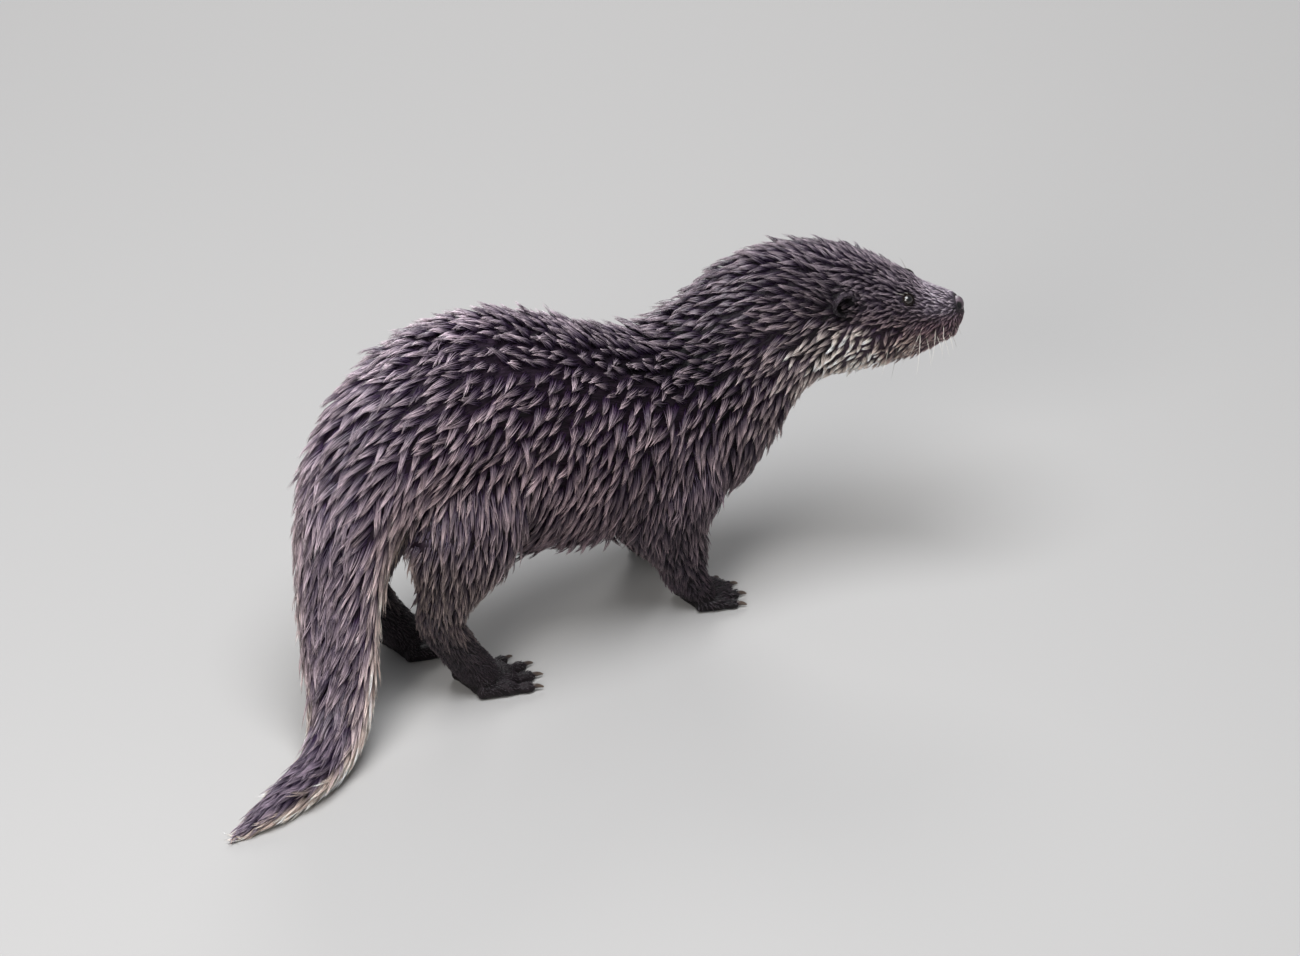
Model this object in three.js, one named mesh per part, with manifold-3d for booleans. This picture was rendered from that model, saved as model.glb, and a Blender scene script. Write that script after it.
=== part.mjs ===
// A Eurasian otter (Lutra lutra) as a still, life-size display model, standing with its back humped, its neck
// raised and stretched forward towards its right, and its tail lowered behind it to the floor.
//
// Millimetres. +Z is up, the trunk runs along +X with the head in front, and +Y is the animal's left.
// Every size is the outer one, out to the tips of the coat. All four feet and the tail rest at z = 0.

import * as THREE from "three";
import { mergeVertices } from "three/addons/utils/BufferGeometryUtils.js";
import Module from "manifold-3d";

const wasm = await Module();
wasm.setup();

// ---------- Driving dimensions ----------

const GAP = 0.3; // left between neighbouring solids
const BODY_SIDES = 20; // corners of a section of the trunk and neck
const TAIL_SIDES = 14;
const HEAD_SIDES = 20;
const LIMB_SIDES = 10;
const FOOT_SIDES = 8;
const TOE_SIDES = 5;
const CLAW_SIDES = 4;
const FULLNESS = 2.2; // 2 would make each section an ellipse, and more fills out its corners

// Sections of the body from the tip of the tail to the withers. Each has its centre, and its reach to the
// side, to the top and to the underside.
const TAIL_SECTIONS = [
  { x: -452, y: -104, z: 5, side: 5, top: 4, under: 6 },
  { x: -420, y: -97, z: 9, side: 13, top: 9, under: 10 },
  { x: -372, y: -82, z: 14, side: 20, top: 15, under: 15 },
  { x: -328, y: -60, z: 22, side: 25, top: 20, under: 22 },
  { x: -300, y: -36, z: 45, side: 30, top: 25, under: 25 },
  { x: -284, y: -14, z: 95, side: 36, top: 32, under: 35 },
  { x: -268, y: 6, z: 150, side: 42, top: 42, under: 52 },
];
const TAIL_PARTS = [0, 1.7, 3.5, 5]; // where the tail is parted, counted in its sections
const TRUNK_SECTIONS = [
  { x: -240, y: 20, z: 202, side: 52, top: 62, under: 52 },
  { x: -194, y: 26, z: 236, side: 62, top: 82, under: 72 },
  { x: -135, y: 26, z: 246, side: 70, top: 96, under: 98 },
  { x: -70, y: 25, z: 232, side: 76, top: 91, under: 121 },
  { x: -5, y: 25, z: 203, side: 80, top: 86, under: 121 },
  { x: 55, y: 26, z: 182, side: 78, top: 87, under: 107 },
  { x: 108, y: 23, z: 188, side: 72, top: 84, under: 104 },
  { x: 152, y: 14, z: 214, side: 64, top: 78, under: 79 },
  { x: 191, y: 2, z: 240, side: 60, top: 79, under: 64 },
];
const NECK_PART = 7.3; // where the neck is parted from the shoulders, counted in sections of the trunk

// The head stands in a frame of its own: x forward from the nape, y left, z up.
const NAPE = new THREE.Vector3(224, -11.5, 253);
const HEAD_YAW = THREE.MathUtils.degToRad(-37); // towards the animal's right
const HEAD_SECTIONS = [
  { x: 0, z: -4, side: 56, top: 69, under: 62 },
  { x: 26, z: 0, side: 53, top: 59, under: 59 },
  { x: 53, z: 0, side: 47, top: 46, under: 52 },
  { x: 79, z: -1, side: 37, top: 33, under: 40 },
  { x: 97, z: -2, side: 31, top: 23, under: 30 },
  { x: 111, z: -3, side: 26, top: 19.5, under: 21 },
  { x: 122, z: -4, side: 20, top: 16.5, under: 14 },
  { x: 127, z: -4, side: 12, top: 12, under: 8 },
];
const NOSE_TIP = 129;
const SNOUT_END = 2.5; // depth of the rounded end of the snout
const LIP_PAD = { x: 109, y: 13, z: -9.5, long: 17, wide: 14, high: 14.5 };
const NOSE_PAD = { x: 124, z: 5, long: 6, wide: 10, high: 7 };
const NOSTRIL = { x: NOSE_TIP, y: 6.5, z: 6.5, long: 4.5, wide: 2.4, high: 2.8 };
const JAW_SECTIONS = [
  { x: 60, z: -23, side: 28, top: 16, under: 26 },
  { x: 84, z: -23, side: 24, top: 12, under: 20 },
  { x: 102, z: -21, side: 17, top: 8, under: 14 },
  { x: 114, z: -19, side: 10, top: 6, under: 8 },
];
const CHIN_END = 4; // depth of the rounded end of the jaw
const EYE = { x: 79.5, y: 22.3, z: 20.6, radius: 6 };
const EAR = { x: 25.5, y: 47, z: 29, long: 7, wide: 12, high: 11.8, turn: 0.95, lean: 0.4 };
const EAR_HOLLOW = { x: 3.6, z: 0, long: 5.8, wide: 9.4, high: 9.2 };

// Legs, each in a frame whose origin is on the floor under its foot: x forward, y outwards.
const HIND_LEGS = [
  { name: "right", x: -144, y: -18, outward: -1 },
  { name: "left", x: -160, y: 70, outward: 1 },
];
const FRONT_LEGS = [
  { name: "right", x: 84, y: -12, outward: -1 },
  { name: "left", x: 98, y: 72, outward: 1 },
];
const THIGH_SECTIONS = [
  { x: -20, y: -16, z: 218, side: 28, top: 48, under: 50 },
  { x: -6, y: 6, z: 174, side: 33, top: 58, under: 74 },
  { x: -12, y: 6, z: 142, side: 29, top: 48, under: 70 },
];
const SHANK_SECTIONS = [
  { x: -26, y: 4, z: 116, side: 23, top: 30, under: 50 },
  { x: -42, y: 2, z: 90, side: 18, top: 21, under: 22 },
];
const HIND_FOOT = {
  sections: [
    { x: -44, y: 2, z: 84, side: 20, top: 21, under: 17 },
    { x: -22, y: 1, z: 46, side: 21, top: 19, under: 17 },
    { x: 0, y: 0, z: 17, side: 26, top: 17, under: 18 },
  ],
  toeLengths: [32, 42, 47, 46, 39],
  toeSpread: 0.78,
  toeReach: { root: 8.5, tip: 6.2 },
  webShare: 0.86,
  claw: 8,
};
const UPPER_ARM_SECTIONS = [
  { x: -12, y: -16, z: 190, side: 30, top: 46, under: 46 },
  { x: -14, y: 9, z: 142, side: 33, top: 55, under: 46 },
  { x: -22, y: 5, z: 110, side: 27, top: 47, under: 46 },
];
const FOREARM_SECTIONS = [
  { x: -20, y: 3, z: 100, side: 25, top: 38, under: 42 },
  { x: -8, y: 0, z: 62, side: 23, top: 27, under: 26 },
  { x: 0, y: 0, z: 36, side: 21, top: 19, under: 18 },
];
const FRONT_FOOT = {
  sections: [
    { x: -3, y: 0, z: 31, side: 20, top: 17, under: 17 },
    { x: 11, y: 0, z: 14, side: 24, top: 14, under: 15 },
  ],
  toeLengths: [23, 31, 35, 34, 28],
  toeSpread: 0.95,
  toeReach: { root: 7.5, tip: 5.6 },
  webShare: 0.8,
  claw: 7,
};
const WEB_TOP = 3.2; // height of the web above the floor
const WEB_DRAWN_IN = 0.82; // how far the web reaches between two toes, as a share of its reach beside them
const TOE_INSET = 7; // from the side of the foot to the root of an outer toe
const TOE_SET_BACK = 4; // how far the root of an outer toe lies behind that of the middle one
const TOE_FLATNESS = { root: 0.9, tip: 0.8 }; // the reach of a toe to its top, as a share of that to its side
const PALM_FORWARD = 0.4; // how far the palm lies in front of the ankle or wrist, as a share of its width
const CLAW_SHAPE = [
  { along: 0, drop: 0, size: 1.9 },
  { along: 0.6, drop: 0.4, size: 1.4 },
  { along: 1, drop: 2, size: 0.6 },
];
const CLAW_HEIGHT = 1.2; // height of a claw as a share of its width
const SOLE_CUT = 1; // how much of the toes and the web is cut off flat by the floor
const ROUND = 0.9; // how far round a rounded end its last ring lies
const BLUNT = 0.6; // the same for the end of a toe, which leaves a flat for the claw
const END_DEPTH = 0.42; // depth of a rounded end, as a share of the height of its section

// ---------- Shapes ----------

/** The rings of a form that runs through sections, with steps rings to each span between two of them. */
function sweep(sections, { steps = 4, from = 0, to = sections.length - 1, grow = 0, across } = {}) {
  const middles = sections.map((s) => new THREE.Vector3(s.x, s.y ?? 0, s.z));
  const reaches = sections.map((s) => new THREE.Vector3(s.side, s.top, s.under));
  const line = new THREE.CatmullRomCurve3(middles);
  const reach = new THREE.CatmullRomCurve3(reaches);
  const spans = sections.length - 1;
  const count = Math.max(1, Math.round((to - from) * steps));
  const rings = [];
  for (let i = 0; i <= count; i += 1) {
    const t = THREE.MathUtils.lerp(from, to, i / count) / spans;
    const forward = line.getTangent(t);
    const hint = across ?? new THREE.Vector3(0, 0, 1).cross(forward);
    const left = hint.clone().addScaledVector(forward, -hint.dot(forward)).normalize();
    const size = reach.getPoint(t).addScalar(grow);
    rings.push({ middle: line.getPoint(t), forward, left, up: forward.clone().cross(left), size });
  }
  return rings;
}

const endDepth = ({ top, under }) => END_DEPTH * (top + under);

/** Rings that close a form with a rounded end. sign is 1 at the front end and -1 at the back end. */
function roundEnd(ring, sign, depth, steps, lastRing = ROUND) {
  const rings = [];
  for (let i = 1; i <= steps; i += 1) {
    const angle = (lastRing * (Math.PI / 2) * i) / steps;
    const middle = ring.middle.clone().addScaledVector(ring.forward, sign * depth * Math.sin(angle));
    rings.push({ ...ring, middle, size: ring.size.clone().multiplyScalar(Math.cos(angle)) });
  }
  return sign > 0 ? rings : rings.reverse();
}

const filled = (share) => Math.sign(share) * Math.abs(share) ** (2 / FULLNESS);

/** A closed geometry over rings, flat at both ends. */
function loft(rings, sides) {
  const points = [];
  const faces = [];
  for (const { middle, left, up, size } of rings) {
    for (let i = 0; i < sides; i += 1) {
      const angle = (2 * Math.PI * i) / sides;
      const [aside, rise] = [filled(Math.cos(angle)) * size.x, filled(Math.sin(angle))];
      const height = rise * (rise > 0 ? size.y : size.z);
      const point = middle.clone().addScaledVector(left, aside).addScaledVector(up, height);
      points.push(...point.toArray());
    }
  }
  const back = rings.length * sides;
  const front = back + 1;
  points.push(...rings[0].middle.toArray(), ...rings.at(-1).middle.toArray());
  for (let i = 0; i < sides; i += 1) {
    const next = (i + 1) % sides;
    for (let ring = 0; ring < rings.length - 1; ring += 1) {
      const [a, b] = [ring * sides + i, ring * sides + next];
      faces.push(a, b, a + sides, b, b + sides, a + sides);
    }
    const last = (rings.length - 1) * sides;
    faces.push(back, next, i, front, last + i, last + next);
  }
  const geometry = new THREE.BufferGeometry();
  geometry.setAttribute("position", new THREE.Float32BufferAttribute(points, 3));
  geometry.setIndex(faces);
  return geometry;
}

/** A limb or toe: a form through sections with rounded ends. outward mirrors it to the right or left. */
function limb(sections, { outward = 1, sides = LIMB_SIDES, steps = 2, grow = 0, ends = [2, 2], lastRing }) {
  const placed = sections.map((s) => ({ ...s, y: outward * (s.y ?? 0) }));
  const rings = sweep(placed, { steps, grow, across: new THREE.Vector3(0, 1, 0) });
  const back = roundEnd(rings[0], -1, endDepth(sections[0]) + grow, ends[0], lastRing);
  const front = roundEnd(rings.at(-1), 1, endDepth(sections.at(-1)) + grow, ends[1], lastRing);
  return loft([...back, ...rings, ...front], sides);
}

/** An ellipsoid with its centre at (x, y, z). */
function ellipsoid({ x, y = 0, z, long, wide, high }, { grow = 0, around = 10, rings = 7 } = {}) {
  const geometry = new THREE.SphereGeometry(1, around, rings);
  return geometry.scale(long + grow, wide + grow, high + grow).translate(x, y, z);
}

// ---------- Cutting and joining ----------

/** The solid of a closed geometry. */
function solid(geometry) {
  const bare = geometry.clone();
  bare.deleteAttribute("normal");
  bare.deleteAttribute("uv");
  const merged = mergeVertices(bare, 1e-4);
  const vertProperties = new Float32Array(merged.attributes.position.array);
  const triVerts = new Uint32Array(merged.index.array);
  return new wasm.Manifold(new wasm.Mesh({ numProp: 3, vertProperties, triVerts }));
}

/** The geometry of a solid. */
function geometryOf(body) {
  const { vertProperties, triVerts, numProp } = body.getMesh();
  const points = [];
  for (let i = 0; i < vertProperties.length; i += numProp) {
    points.push(vertProperties[i], vertProperties[i + 1], vertProperties[i + 2]);
  }
  const geometry = new THREE.BufferGeometry();
  geometry.setAttribute("position", new THREE.Float32BufferAttribute(points, 3));
  geometry.setIndex(Array.from(triVerts));
  return geometry;
}

const joined = (geometries) => geometries.map(solid).reduce((whole, part) => whole.add(part));

/** What of a solid stands above the floor. */
function aboveFloor(body) {
  const ground = new THREE.BoxGeometry(2000, 2000, 200).translate(0, 0, -100);
  return body.subtract(solid(ground));
}

// ---------- Materials ----------

const coatMaterial = new THREE.MeshStandardMaterial({ color: 0x5a4a44, roughness: 0.6, metalness: 0 });
const paleCoatMaterial = new THREE.MeshStandardMaterial({ color: 0xb5a898, roughness: 0.65, metalness: 0 });
const footMaterial = new THREE.MeshStandardMaterial({ color: 0x54444a, roughness: 0.55, metalness: 0 });
const noseMaterial = new THREE.MeshStandardMaterial({ color: 0x1b1718, roughness: 0.35, metalness: 0 });
const eyeMaterial = new THREE.MeshStandardMaterial({ color: 0x120d0b, roughness: 0.06, metalness: 0 });
const clawMaterial = new THREE.MeshStandardMaterial({ color: 0x4a3d36, roughness: 0.4, metalness: 0 });

const otter = new THREE.Group();
const head = new THREE.Group();
head.position.copy(NAPE);
head.rotation.z = HEAD_YAW;
otter.add(head);
head.updateMatrixWorld(true);

/** Adds a named piece to a group. */
function add(group, name, geometry, material) {
  const mesh = new THREE.Mesh(geometry, material);
  mesh.name = name;
  group.add(mesh);
}

// ---------- Tail, trunk and neck: one form, parted across ----------

/** The sections of the head, carried from its own frame to the frame of the body. */
const headSections = HEAD_SECTIONS.map((section) => {
  const { x, y, z } = head.localToWorld(new THREE.Vector3(section.x, 0, section.z));
  return { ...section, x, y, z };
});

const BODY = [...TAIL_SECTIONS, ...TRUNK_SECTIONS, ...headSections];
const FIRST_TRUNK = TAIL_SECTIONS.length;
const NAPE_AT = FIRST_TRUNK + TRUNK_SECTIONS.length;

// Where the body is parted, counted in sections, and how finely each piece is divided.
const BODY_PIECES = [
  { name: "tail_tip", from: TAIL_PARTS[0], to: TAIL_PARTS[1], sides: TAIL_SIDES },
  { name: "tail_end", from: TAIL_PARTS[1], to: TAIL_PARTS[2], sides: TAIL_SIDES },
  { name: "tail_middle", from: TAIL_PARTS[2], to: TAIL_PARTS[3], sides: TAIL_SIDES },
  { name: "tail_root", from: TAIL_PARTS[3], to: FIRST_TRUNK, sides: BODY_SIDES },
  { name: "rump", from: FIRST_TRUNK, to: FIRST_TRUNK + 2, sides: BODY_SIDES },
  { name: "loins", from: FIRST_TRUNK + 2, to: FIRST_TRUNK + 4, sides: BODY_SIDES },
  { name: "chest", from: FIRST_TRUNK + 4, to: FIRST_TRUNK + 6, sides: BODY_SIDES },
  { name: "shoulders", from: FIRST_TRUNK + 6, to: FIRST_TRUNK + NECK_PART, sides: BODY_SIDES },
  { name: "neck", from: FIRST_TRUNK + NECK_PART, to: NAPE_AT, sides: BODY_SIDES },
];
const BODY_STEPS = 3; // rings to each span between two sections

/** Draws the end ring of a piece back from its neighbour by half the gap. */
const drawBack = (ring, sign) => ring.middle.addScaledVector(ring.forward, (sign * GAP) / 2);

function makeBodyPiece({ name, from, to, sides }) {
  const rings = sweep(BODY, { from, to, steps: BODY_STEPS });
  drawBack(rings[0], 1);
  drawBack(rings.at(-1), -1);
  add(otter, name, geometryOf(aboveFloor(solid(loft(rings, sides)))), coatMaterial);
}

BODY_PIECES.forEach(makeBodyPiece);

// The trunk grown by the gap, which the legs are cut to. Its rings are those of the pieces.
const trunkPieces = BODY_PIECES.filter(({ sides }) => sides === BODY_SIDES);
const grownRings = trunkPieces.flatMap(({ from, to }, i) => {
  const rings = sweep(BODY, { from, to, steps: BODY_STEPS, grow: GAP });
  return i === 0 ? rings : rings.slice(1);
});
const grownTrunk = solid(loft(grownRings, BODY_SIDES));

// ---------- Head ----------

/** The head without its ears and jaw, in its own frame: the front of the body form, with the lip pads. */
function headForm(grow) {
  const rings = sweep(BODY, { from: NAPE_AT, steps: 2, grow });
  drawBack(rings[0], 1);
  const tip = roundEnd(rings.at(-1), 1, SNOUT_END + grow, 1);
  const skull = loft([...rings, ...tip], HEAD_SIDES).applyMatrix4(head.matrixWorld.clone().invert());
  const padShape = { grow, around: 8, rings: 5 };
  const pads = [1, -1].map((side) => ellipsoid({ ...LIP_PAD, y: side * LIP_PAD.y }, padShape));
  return joined([skull, ...pads]);
}

/** Adds an eye and returns the solid of its socket. */
function makeEye(name, side) {
  const ball = (radius) => {
    const geometry = new THREE.SphereGeometry(radius, 10, 7);
    return geometry.translate(EYE.x, side * EYE.y, EYE.z);
  };
  add(head, name, ball(EYE.radius), eyeMaterial);
  return solid(ball(EYE.radius + GAP));
}

/** A small round ear, hollow in front, leaning back and out from the side of the head. */
function makeEar(name, side, headGrown) {
  const turned = (geometry) => {
    geometry.rotateX(-side * EAR.lean);
    geometry.rotateZ(side * EAR.turn);
    return solid(geometry.translate(EAR.x, side * EAR.y, EAR.z));
  };
  const shell = ellipsoid({ ...EAR, x: 0, y: 0, z: 0 }, { rings: 6 });
  const ear = turned(shell).subtract(turned(ellipsoid(EAR_HOLLOW))).subtract(headGrown);
  add(head, name, geometryOf(ear), coatMaterial);
}

function makeHead() {
  const headGrown = headForm(GAP);
  let skull = headForm(0);
  skull = skull.subtract(makeEye("eye_right", -1)).subtract(makeEye("eye_left", 1));
  makeEar("ear_right", -1, headGrown);
  makeEar("ear_left", 1, headGrown);

  const coarse = { around: 6, rings: 4 };
  const nostrils = [1, -1].map((side) => ellipsoid({ ...NOSTRIL, y: side * NOSTRIL.y }, coarse));
  const pad = solid(ellipsoid(NOSE_PAD, { rings: 6 })).subtract(joined(nostrils));
  add(head, "nose_pad", geometryOf(pad), noseMaterial);
  skull = skull.subtract(solid(ellipsoid(NOSE_PAD, { grow: GAP, rings: 6 })));

  const jawRings = sweep(JAW_SECTIONS, { steps: 1 });
  const jawForm = loft([...jawRings, ...roundEnd(jawRings.at(-1), 1, CHIN_END, 1)], LIMB_SIDES);
  add(head, "lower_jaw", geometryOf(solid(jawForm).subtract(headGrown)), paleCoatMaterial);

  add(head, "head", geometryOf(skull), coatMaterial);
}

makeHead();

// ---------- Legs ----------

/** The direction and the root of each toe of a foot, from the inner toe to the outer one. */
function toesOf(foot) {
  const ball = foot.sections.at(-1);
  const middle = (foot.toeLengths.length - 1) / 2;
  return foot.toeLengths.map((length, i) => {
    const share = (i - middle) / middle;
    const angle = (share * foot.toeSpread) / 2;
    const root = new THREE.Vector3(
      ball.x - TOE_SET_BACK * Math.abs(share),
      share * (ball.side - TOE_INSET),
      foot.toeReach.root,
    );
    const direction = new THREE.Vector3(Math.cos(angle), Math.sin(angle), 0);
    const tip = root.clone().addScaledVector(direction, length);
    return { length, root, direction, tip, reach: foot.toeReach };
  });
}

/** The web: a thin fan between the toes, its edge drawn in between each pair of them. */
function webOf(foot, toes, outward, grow) {
  const shape = new THREE.Shape();
  const on = (toe, share) => toe.root.clone().addScaledVector(toe.direction, toe.length * share);
  const drawnIn = foot.webShare * WEB_DRAWN_IN;
  shape.moveTo(toes[0].root.x, outward * toes[0].root.y);
  toes.forEach((toe, i) => {
    if (i > 0) {
      const edge = on(toe, drawnIn).lerp(on(toes[i - 1], drawnIn), 0.5);
      shape.lineTo(edge.x, outward * edge.y);
    }
    const beside = on(toe, foot.webShare);
    shape.lineTo(beside.x, outward * beside.y);
  });
  shape.lineTo(toes.at(-1).root.x, outward * toes.at(-1).root.y);
  const depth = WEB_TOP + SOLE_CUT + grow;
  return new THREE.ExtrudeGeometry(shape, { depth, bevelEnabled: false }).translate(0, 0, -SOLE_CUT);
}

/** The sections of a toe, whose underside is cut off flat by the floor. */
function toeSections({ root, tip, reach }) {
  const section = ({ x, y }, size, flatness) => {
    return { x, y, z: size - SOLE_CUT, side: size, top: size * flatness, under: size };
  };
  return [section(root, reach.root, TOE_FLATNESS.root), section(tip, reach.tip, TOE_FLATNESS.tip)];
}

/** A foot: the ankle or wrist, the palm, the toes and the web between them. */
function footForm(foot, outward, grow) {
  const toes = toesOf(foot);
  const { x, side } = foot.sections.at(-1);
  const high = foot.toeReach.root;
  const palmPlace = { x: x + PALM_FORWARD * side, z: high - SOLE_CUT };
  const palm = ellipsoid({ ...palmPlace, long: side, wide: side, high }, { grow, around: 7, rings: 5 });
  const shape = { outward, grow, steps: 1, ends: [1, 2], sides: FOOT_SIDES };
  const toeShape = { ...shape, sides: TOE_SIDES, ends: [0, 1], lastRing: BLUNT };
  return joined([
    limb(foot.sections, shape),
    palm,
    ...toes.map((toe) => limb(toeSections(toe), toeShape)),
    webOf(foot, toes, outward, grow),
  ]);
}

/** The claws of a foot: short tapered hooks, each on the flat at the end of its toe. */
function clawForms(foot, outward) {
  return toesOf(foot).map((toe) => {
    const end = toeSections(toe)[1];
    const start = endDepth(end) * Math.sin((BLUNT * Math.PI) / 2) + GAP;
    const sections = CLAW_SHAPE.map(({ along, drop, size }) => {
      const { x, y } = toe.tip.clone().addScaledVector(toe.direction, start + along * foot.claw);
      const reach = size * CLAW_HEIGHT;
      return { x, y: outward * y, z: end.z - drop, side: size, top: reach, under: reach };
    });
    return loft(sweep(sections, { steps: 1, across: new THREE.Vector3(0, 1, 0) }), CLAW_SIDES);
  });
}

/** A leg from the trunk to the claws. Each length is cut to the one above it. */
function makeLeg(place, names, lengths, foot) {
  const leg = new THREE.Group();
  leg.position.set(place.x, place.y, 0);
  otter.add(leg);
  const { outward } = place;
  let above = grownTrunk.translate(-place.x, -place.y, 0);
  lengths.forEach((sections, i) => {
    const piece = solid(limb(sections, { outward })).subtract(above);
    add(leg, `${names[i]}_${place.name}`, geometryOf(aboveFloor(piece)), coatMaterial);
    above = above.add(solid(limb(sections, { outward, grow: GAP })));
  });
  const sole = aboveFloor(footForm(foot, outward, 0).subtract(above));
  add(leg, `${names.at(-1)}_${place.name}`, geometryOf(sole), footMaterial);
  clawForms(foot, outward).forEach((form, i) => {
    add(leg, `claw_${names.at(-1)}_${place.name}_${i + 1}`, form, clawMaterial);
  });
}

for (const place of HIND_LEGS) {
  makeLeg(place, ["thigh", "shank", "hind_foot"], [THIGH_SECTIONS, SHANK_SECTIONS], HIND_FOOT);
}
for (const place of FRONT_LEGS) {
  makeLeg(place, ["upper_arm", "forearm", "front_foot"], [UPPER_ARM_SECTIONS, FOREARM_SECTIONS], FRONT_FOOT);
}

// The origin is on the floor, under the middle of the whole animal.
const extent = new THREE.Box3().setFromObject(otter, true);
const centre = extent.getCenter(new THREE.Vector3());
otter.position.set(-centre.x, -centre.y, 0);

export default otter;
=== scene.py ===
"""A Eurasian otter as a still, life-size display model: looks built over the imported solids.

One skin stands for all the flesh. It lies inside the solids by the depth of the coat, and the coat over it is
solid mesh: locks of wet guard hair that follow the lie of the fur. Lengths are in millimetres up to the
moment a mesh is made, in the frame of the body, and SHIFT carries them to the row's frame.
"""

import itertools
import math

import bmesh
import bpy
import numpy as np
from mathutils import Matrix, Vector
from mathutils.bvhtree import BVHTree
from mathutils.kdtree import KDTree


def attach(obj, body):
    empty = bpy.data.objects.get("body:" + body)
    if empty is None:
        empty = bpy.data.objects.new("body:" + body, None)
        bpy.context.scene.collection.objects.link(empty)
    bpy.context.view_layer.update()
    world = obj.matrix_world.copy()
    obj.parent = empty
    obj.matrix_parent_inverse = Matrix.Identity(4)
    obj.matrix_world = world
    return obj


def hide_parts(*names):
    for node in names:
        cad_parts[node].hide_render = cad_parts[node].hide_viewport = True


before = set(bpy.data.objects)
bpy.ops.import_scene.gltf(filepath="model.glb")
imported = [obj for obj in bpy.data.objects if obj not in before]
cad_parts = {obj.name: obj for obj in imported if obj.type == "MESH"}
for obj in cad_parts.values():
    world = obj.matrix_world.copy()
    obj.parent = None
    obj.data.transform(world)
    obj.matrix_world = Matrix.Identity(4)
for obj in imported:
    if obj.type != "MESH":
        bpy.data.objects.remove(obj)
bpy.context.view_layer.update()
rng = np.random.default_rng(20)

MM = 0.001
SHIFT = np.array((59.328, -1.806, 0.0))  # from the frame of the body to the row's frame
FULLNESS = 2.2  # 2 would make each section an ellipse

# Sections of the body: centre x y z, reach to the side, top and underside, and the depth of the coat there.
TAIL = [
    (-452, -104, 5, 5, 4, 6, 1.0),
    (-420, -97, 9, 13, 9, 10, 2.5),
    (-372, -82, 14, 20, 15, 15, 4),
    (-328, -60, 22, 25, 20, 22, 5),
    (-300, -36, 45, 30, 25, 25, 6),
    (-284, -14, 95, 36, 32, 35, 7),
    (-268, 6, 150, 42, 42, 52, 8),
]
TRUNK = [
    (-240, 20, 202, 52, 62, 52, 9),
    (-194, 26, 236, 62, 82, 72, 9),
    (-135, 26, 246, 70, 96, 98, 10),
    (-70, 25, 232, 76, 91, 121, 11),
    (-5, 25, 203, 80, 86, 121, 11),
    (55, 26, 182, 78, 87, 107, 11),
    (108, 23, 188, 72, 84, 104, 11),
    (152, 14, 214, 64, 78, 79, 10),
    (191, 2, 240, 60, 79, 64, 9),
]
# Sections of the head in its own frame: x, z, reach to the side, top and underside, and the coat's depth.
HEAD = [
    (0, -4, 56, 69, 62, 7.5),
    (26, 0, 53, 59, 59, 5.5),
    (53, 0, 47, 46, 52, 3.5),
    (79, -1, 37, 33, 40, 2),
    (97, -2, 31, 23, 30, 1.5),
    (111, -3, 26, 19.5, 21, 1.2),
    (122, -4, 20, 16.5, 14, 1),
    (127, -4, 12, 12, 8, 1),
]
NAPE = np.array((224, -11.5, 253))  # where the frame of the head has its origin
HEAD_YAW = math.radians(-37)
JAW = [
    (60, -23, 28, 16, 26, 2),
    (84, -23, 24, 12, 20, 1.6),
    (102, -21, 17, 8, 14, 1.4),
    (114, -19, 10, 6, 8, 1.2),
]
LIP_PAD = dict(at=(109, 13, -9.5), size=(16, 12.8, 13.3))
NOSE_PAD = dict(at=(124, 0, 5), size=(6, 10, 7))
MOUTH = dict(corner=72, back=-20.5, front=-16.5, wide=1.5)  # the line between the lips
NOSTRIL = dict(y=8.4, z=8.8, wide=3.4, high=3.8, deep=4.6)
EYE = np.array((79.5, 22.3, 20.6))
EYE_RADIUS = 6.0
EYE_AXIS = np.array((0.36, 0.68, 0.64))  # the way the left eye looks
OPENING = (5.4, 5.0)  # half the length and height between the lids
LID = 0.7  # thickness of the lids over the ball
LID_EDGE = dict(high=0.35, at=1.12, wide=0.13)  # at and wide in shares of the opening
LID_FOLD = dict(upper=0.75, lower=0.5, at=1.62, wide=0.2)
BROW = dict(high=0.4, above=8.0, wide=2.6, ahead=1.0, long=8.5)
SOCKET = dict(radius=18, back=-4, deep=5.0, fade=(1.3, 2.6))  # the skin around an eye that changes with it
EAR = dict(at=(25.5, 47, 29), long=6.5, wide=11.5, high=11.4, turn=0.95, lean=0.4, wall=1.9)

# Legs, each in a frame on the floor under its foot: y outwards. The sections run from the hip or shoulder to
# the ball of the foot.
HIND_SECTIONS = [
    (-20, -16, 218, 28, 48, 50, 12),
    (-6, 6, 174, 33, 58, 74, 9),
    (-12, 6, 142, 29, 48, 70, 7),
    (-26, 4, 116, 23, 30, 50, 5),
    (-43, 2, 87, 20, 22, 20, 3),
    (-22, 1, 46, 21, 19, 17, 2.2),
    (0, 0, 17, 26, 17, 18, 1.2),
]
FRONT_SECTIONS = [
    (-12, -16, 190, 30, 46, 46, 11),
    (-14, 9, 142, 33, 55, 46, 8),
    (-22, 5, 105, 27, 43, 45, 5),
    (-8, 0, 62, 23, 27, 26, 3),
    (-2, 0, 33, 21, 18, 18, 2),
    (11, 0, 14, 24, 14, 15, 1.2),
]
HIND_FOOT = dict(toes=(32, 42, 47, 46, 39), spread=0.78, root=8.5, tip=6.2, web=0.86, claw=8)
FRONT_FOOT = dict(toes=(23, 31, 35, 34, 28), spread=0.95, root=7.5, tip=5.6, web=0.8, claw=7)
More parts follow.
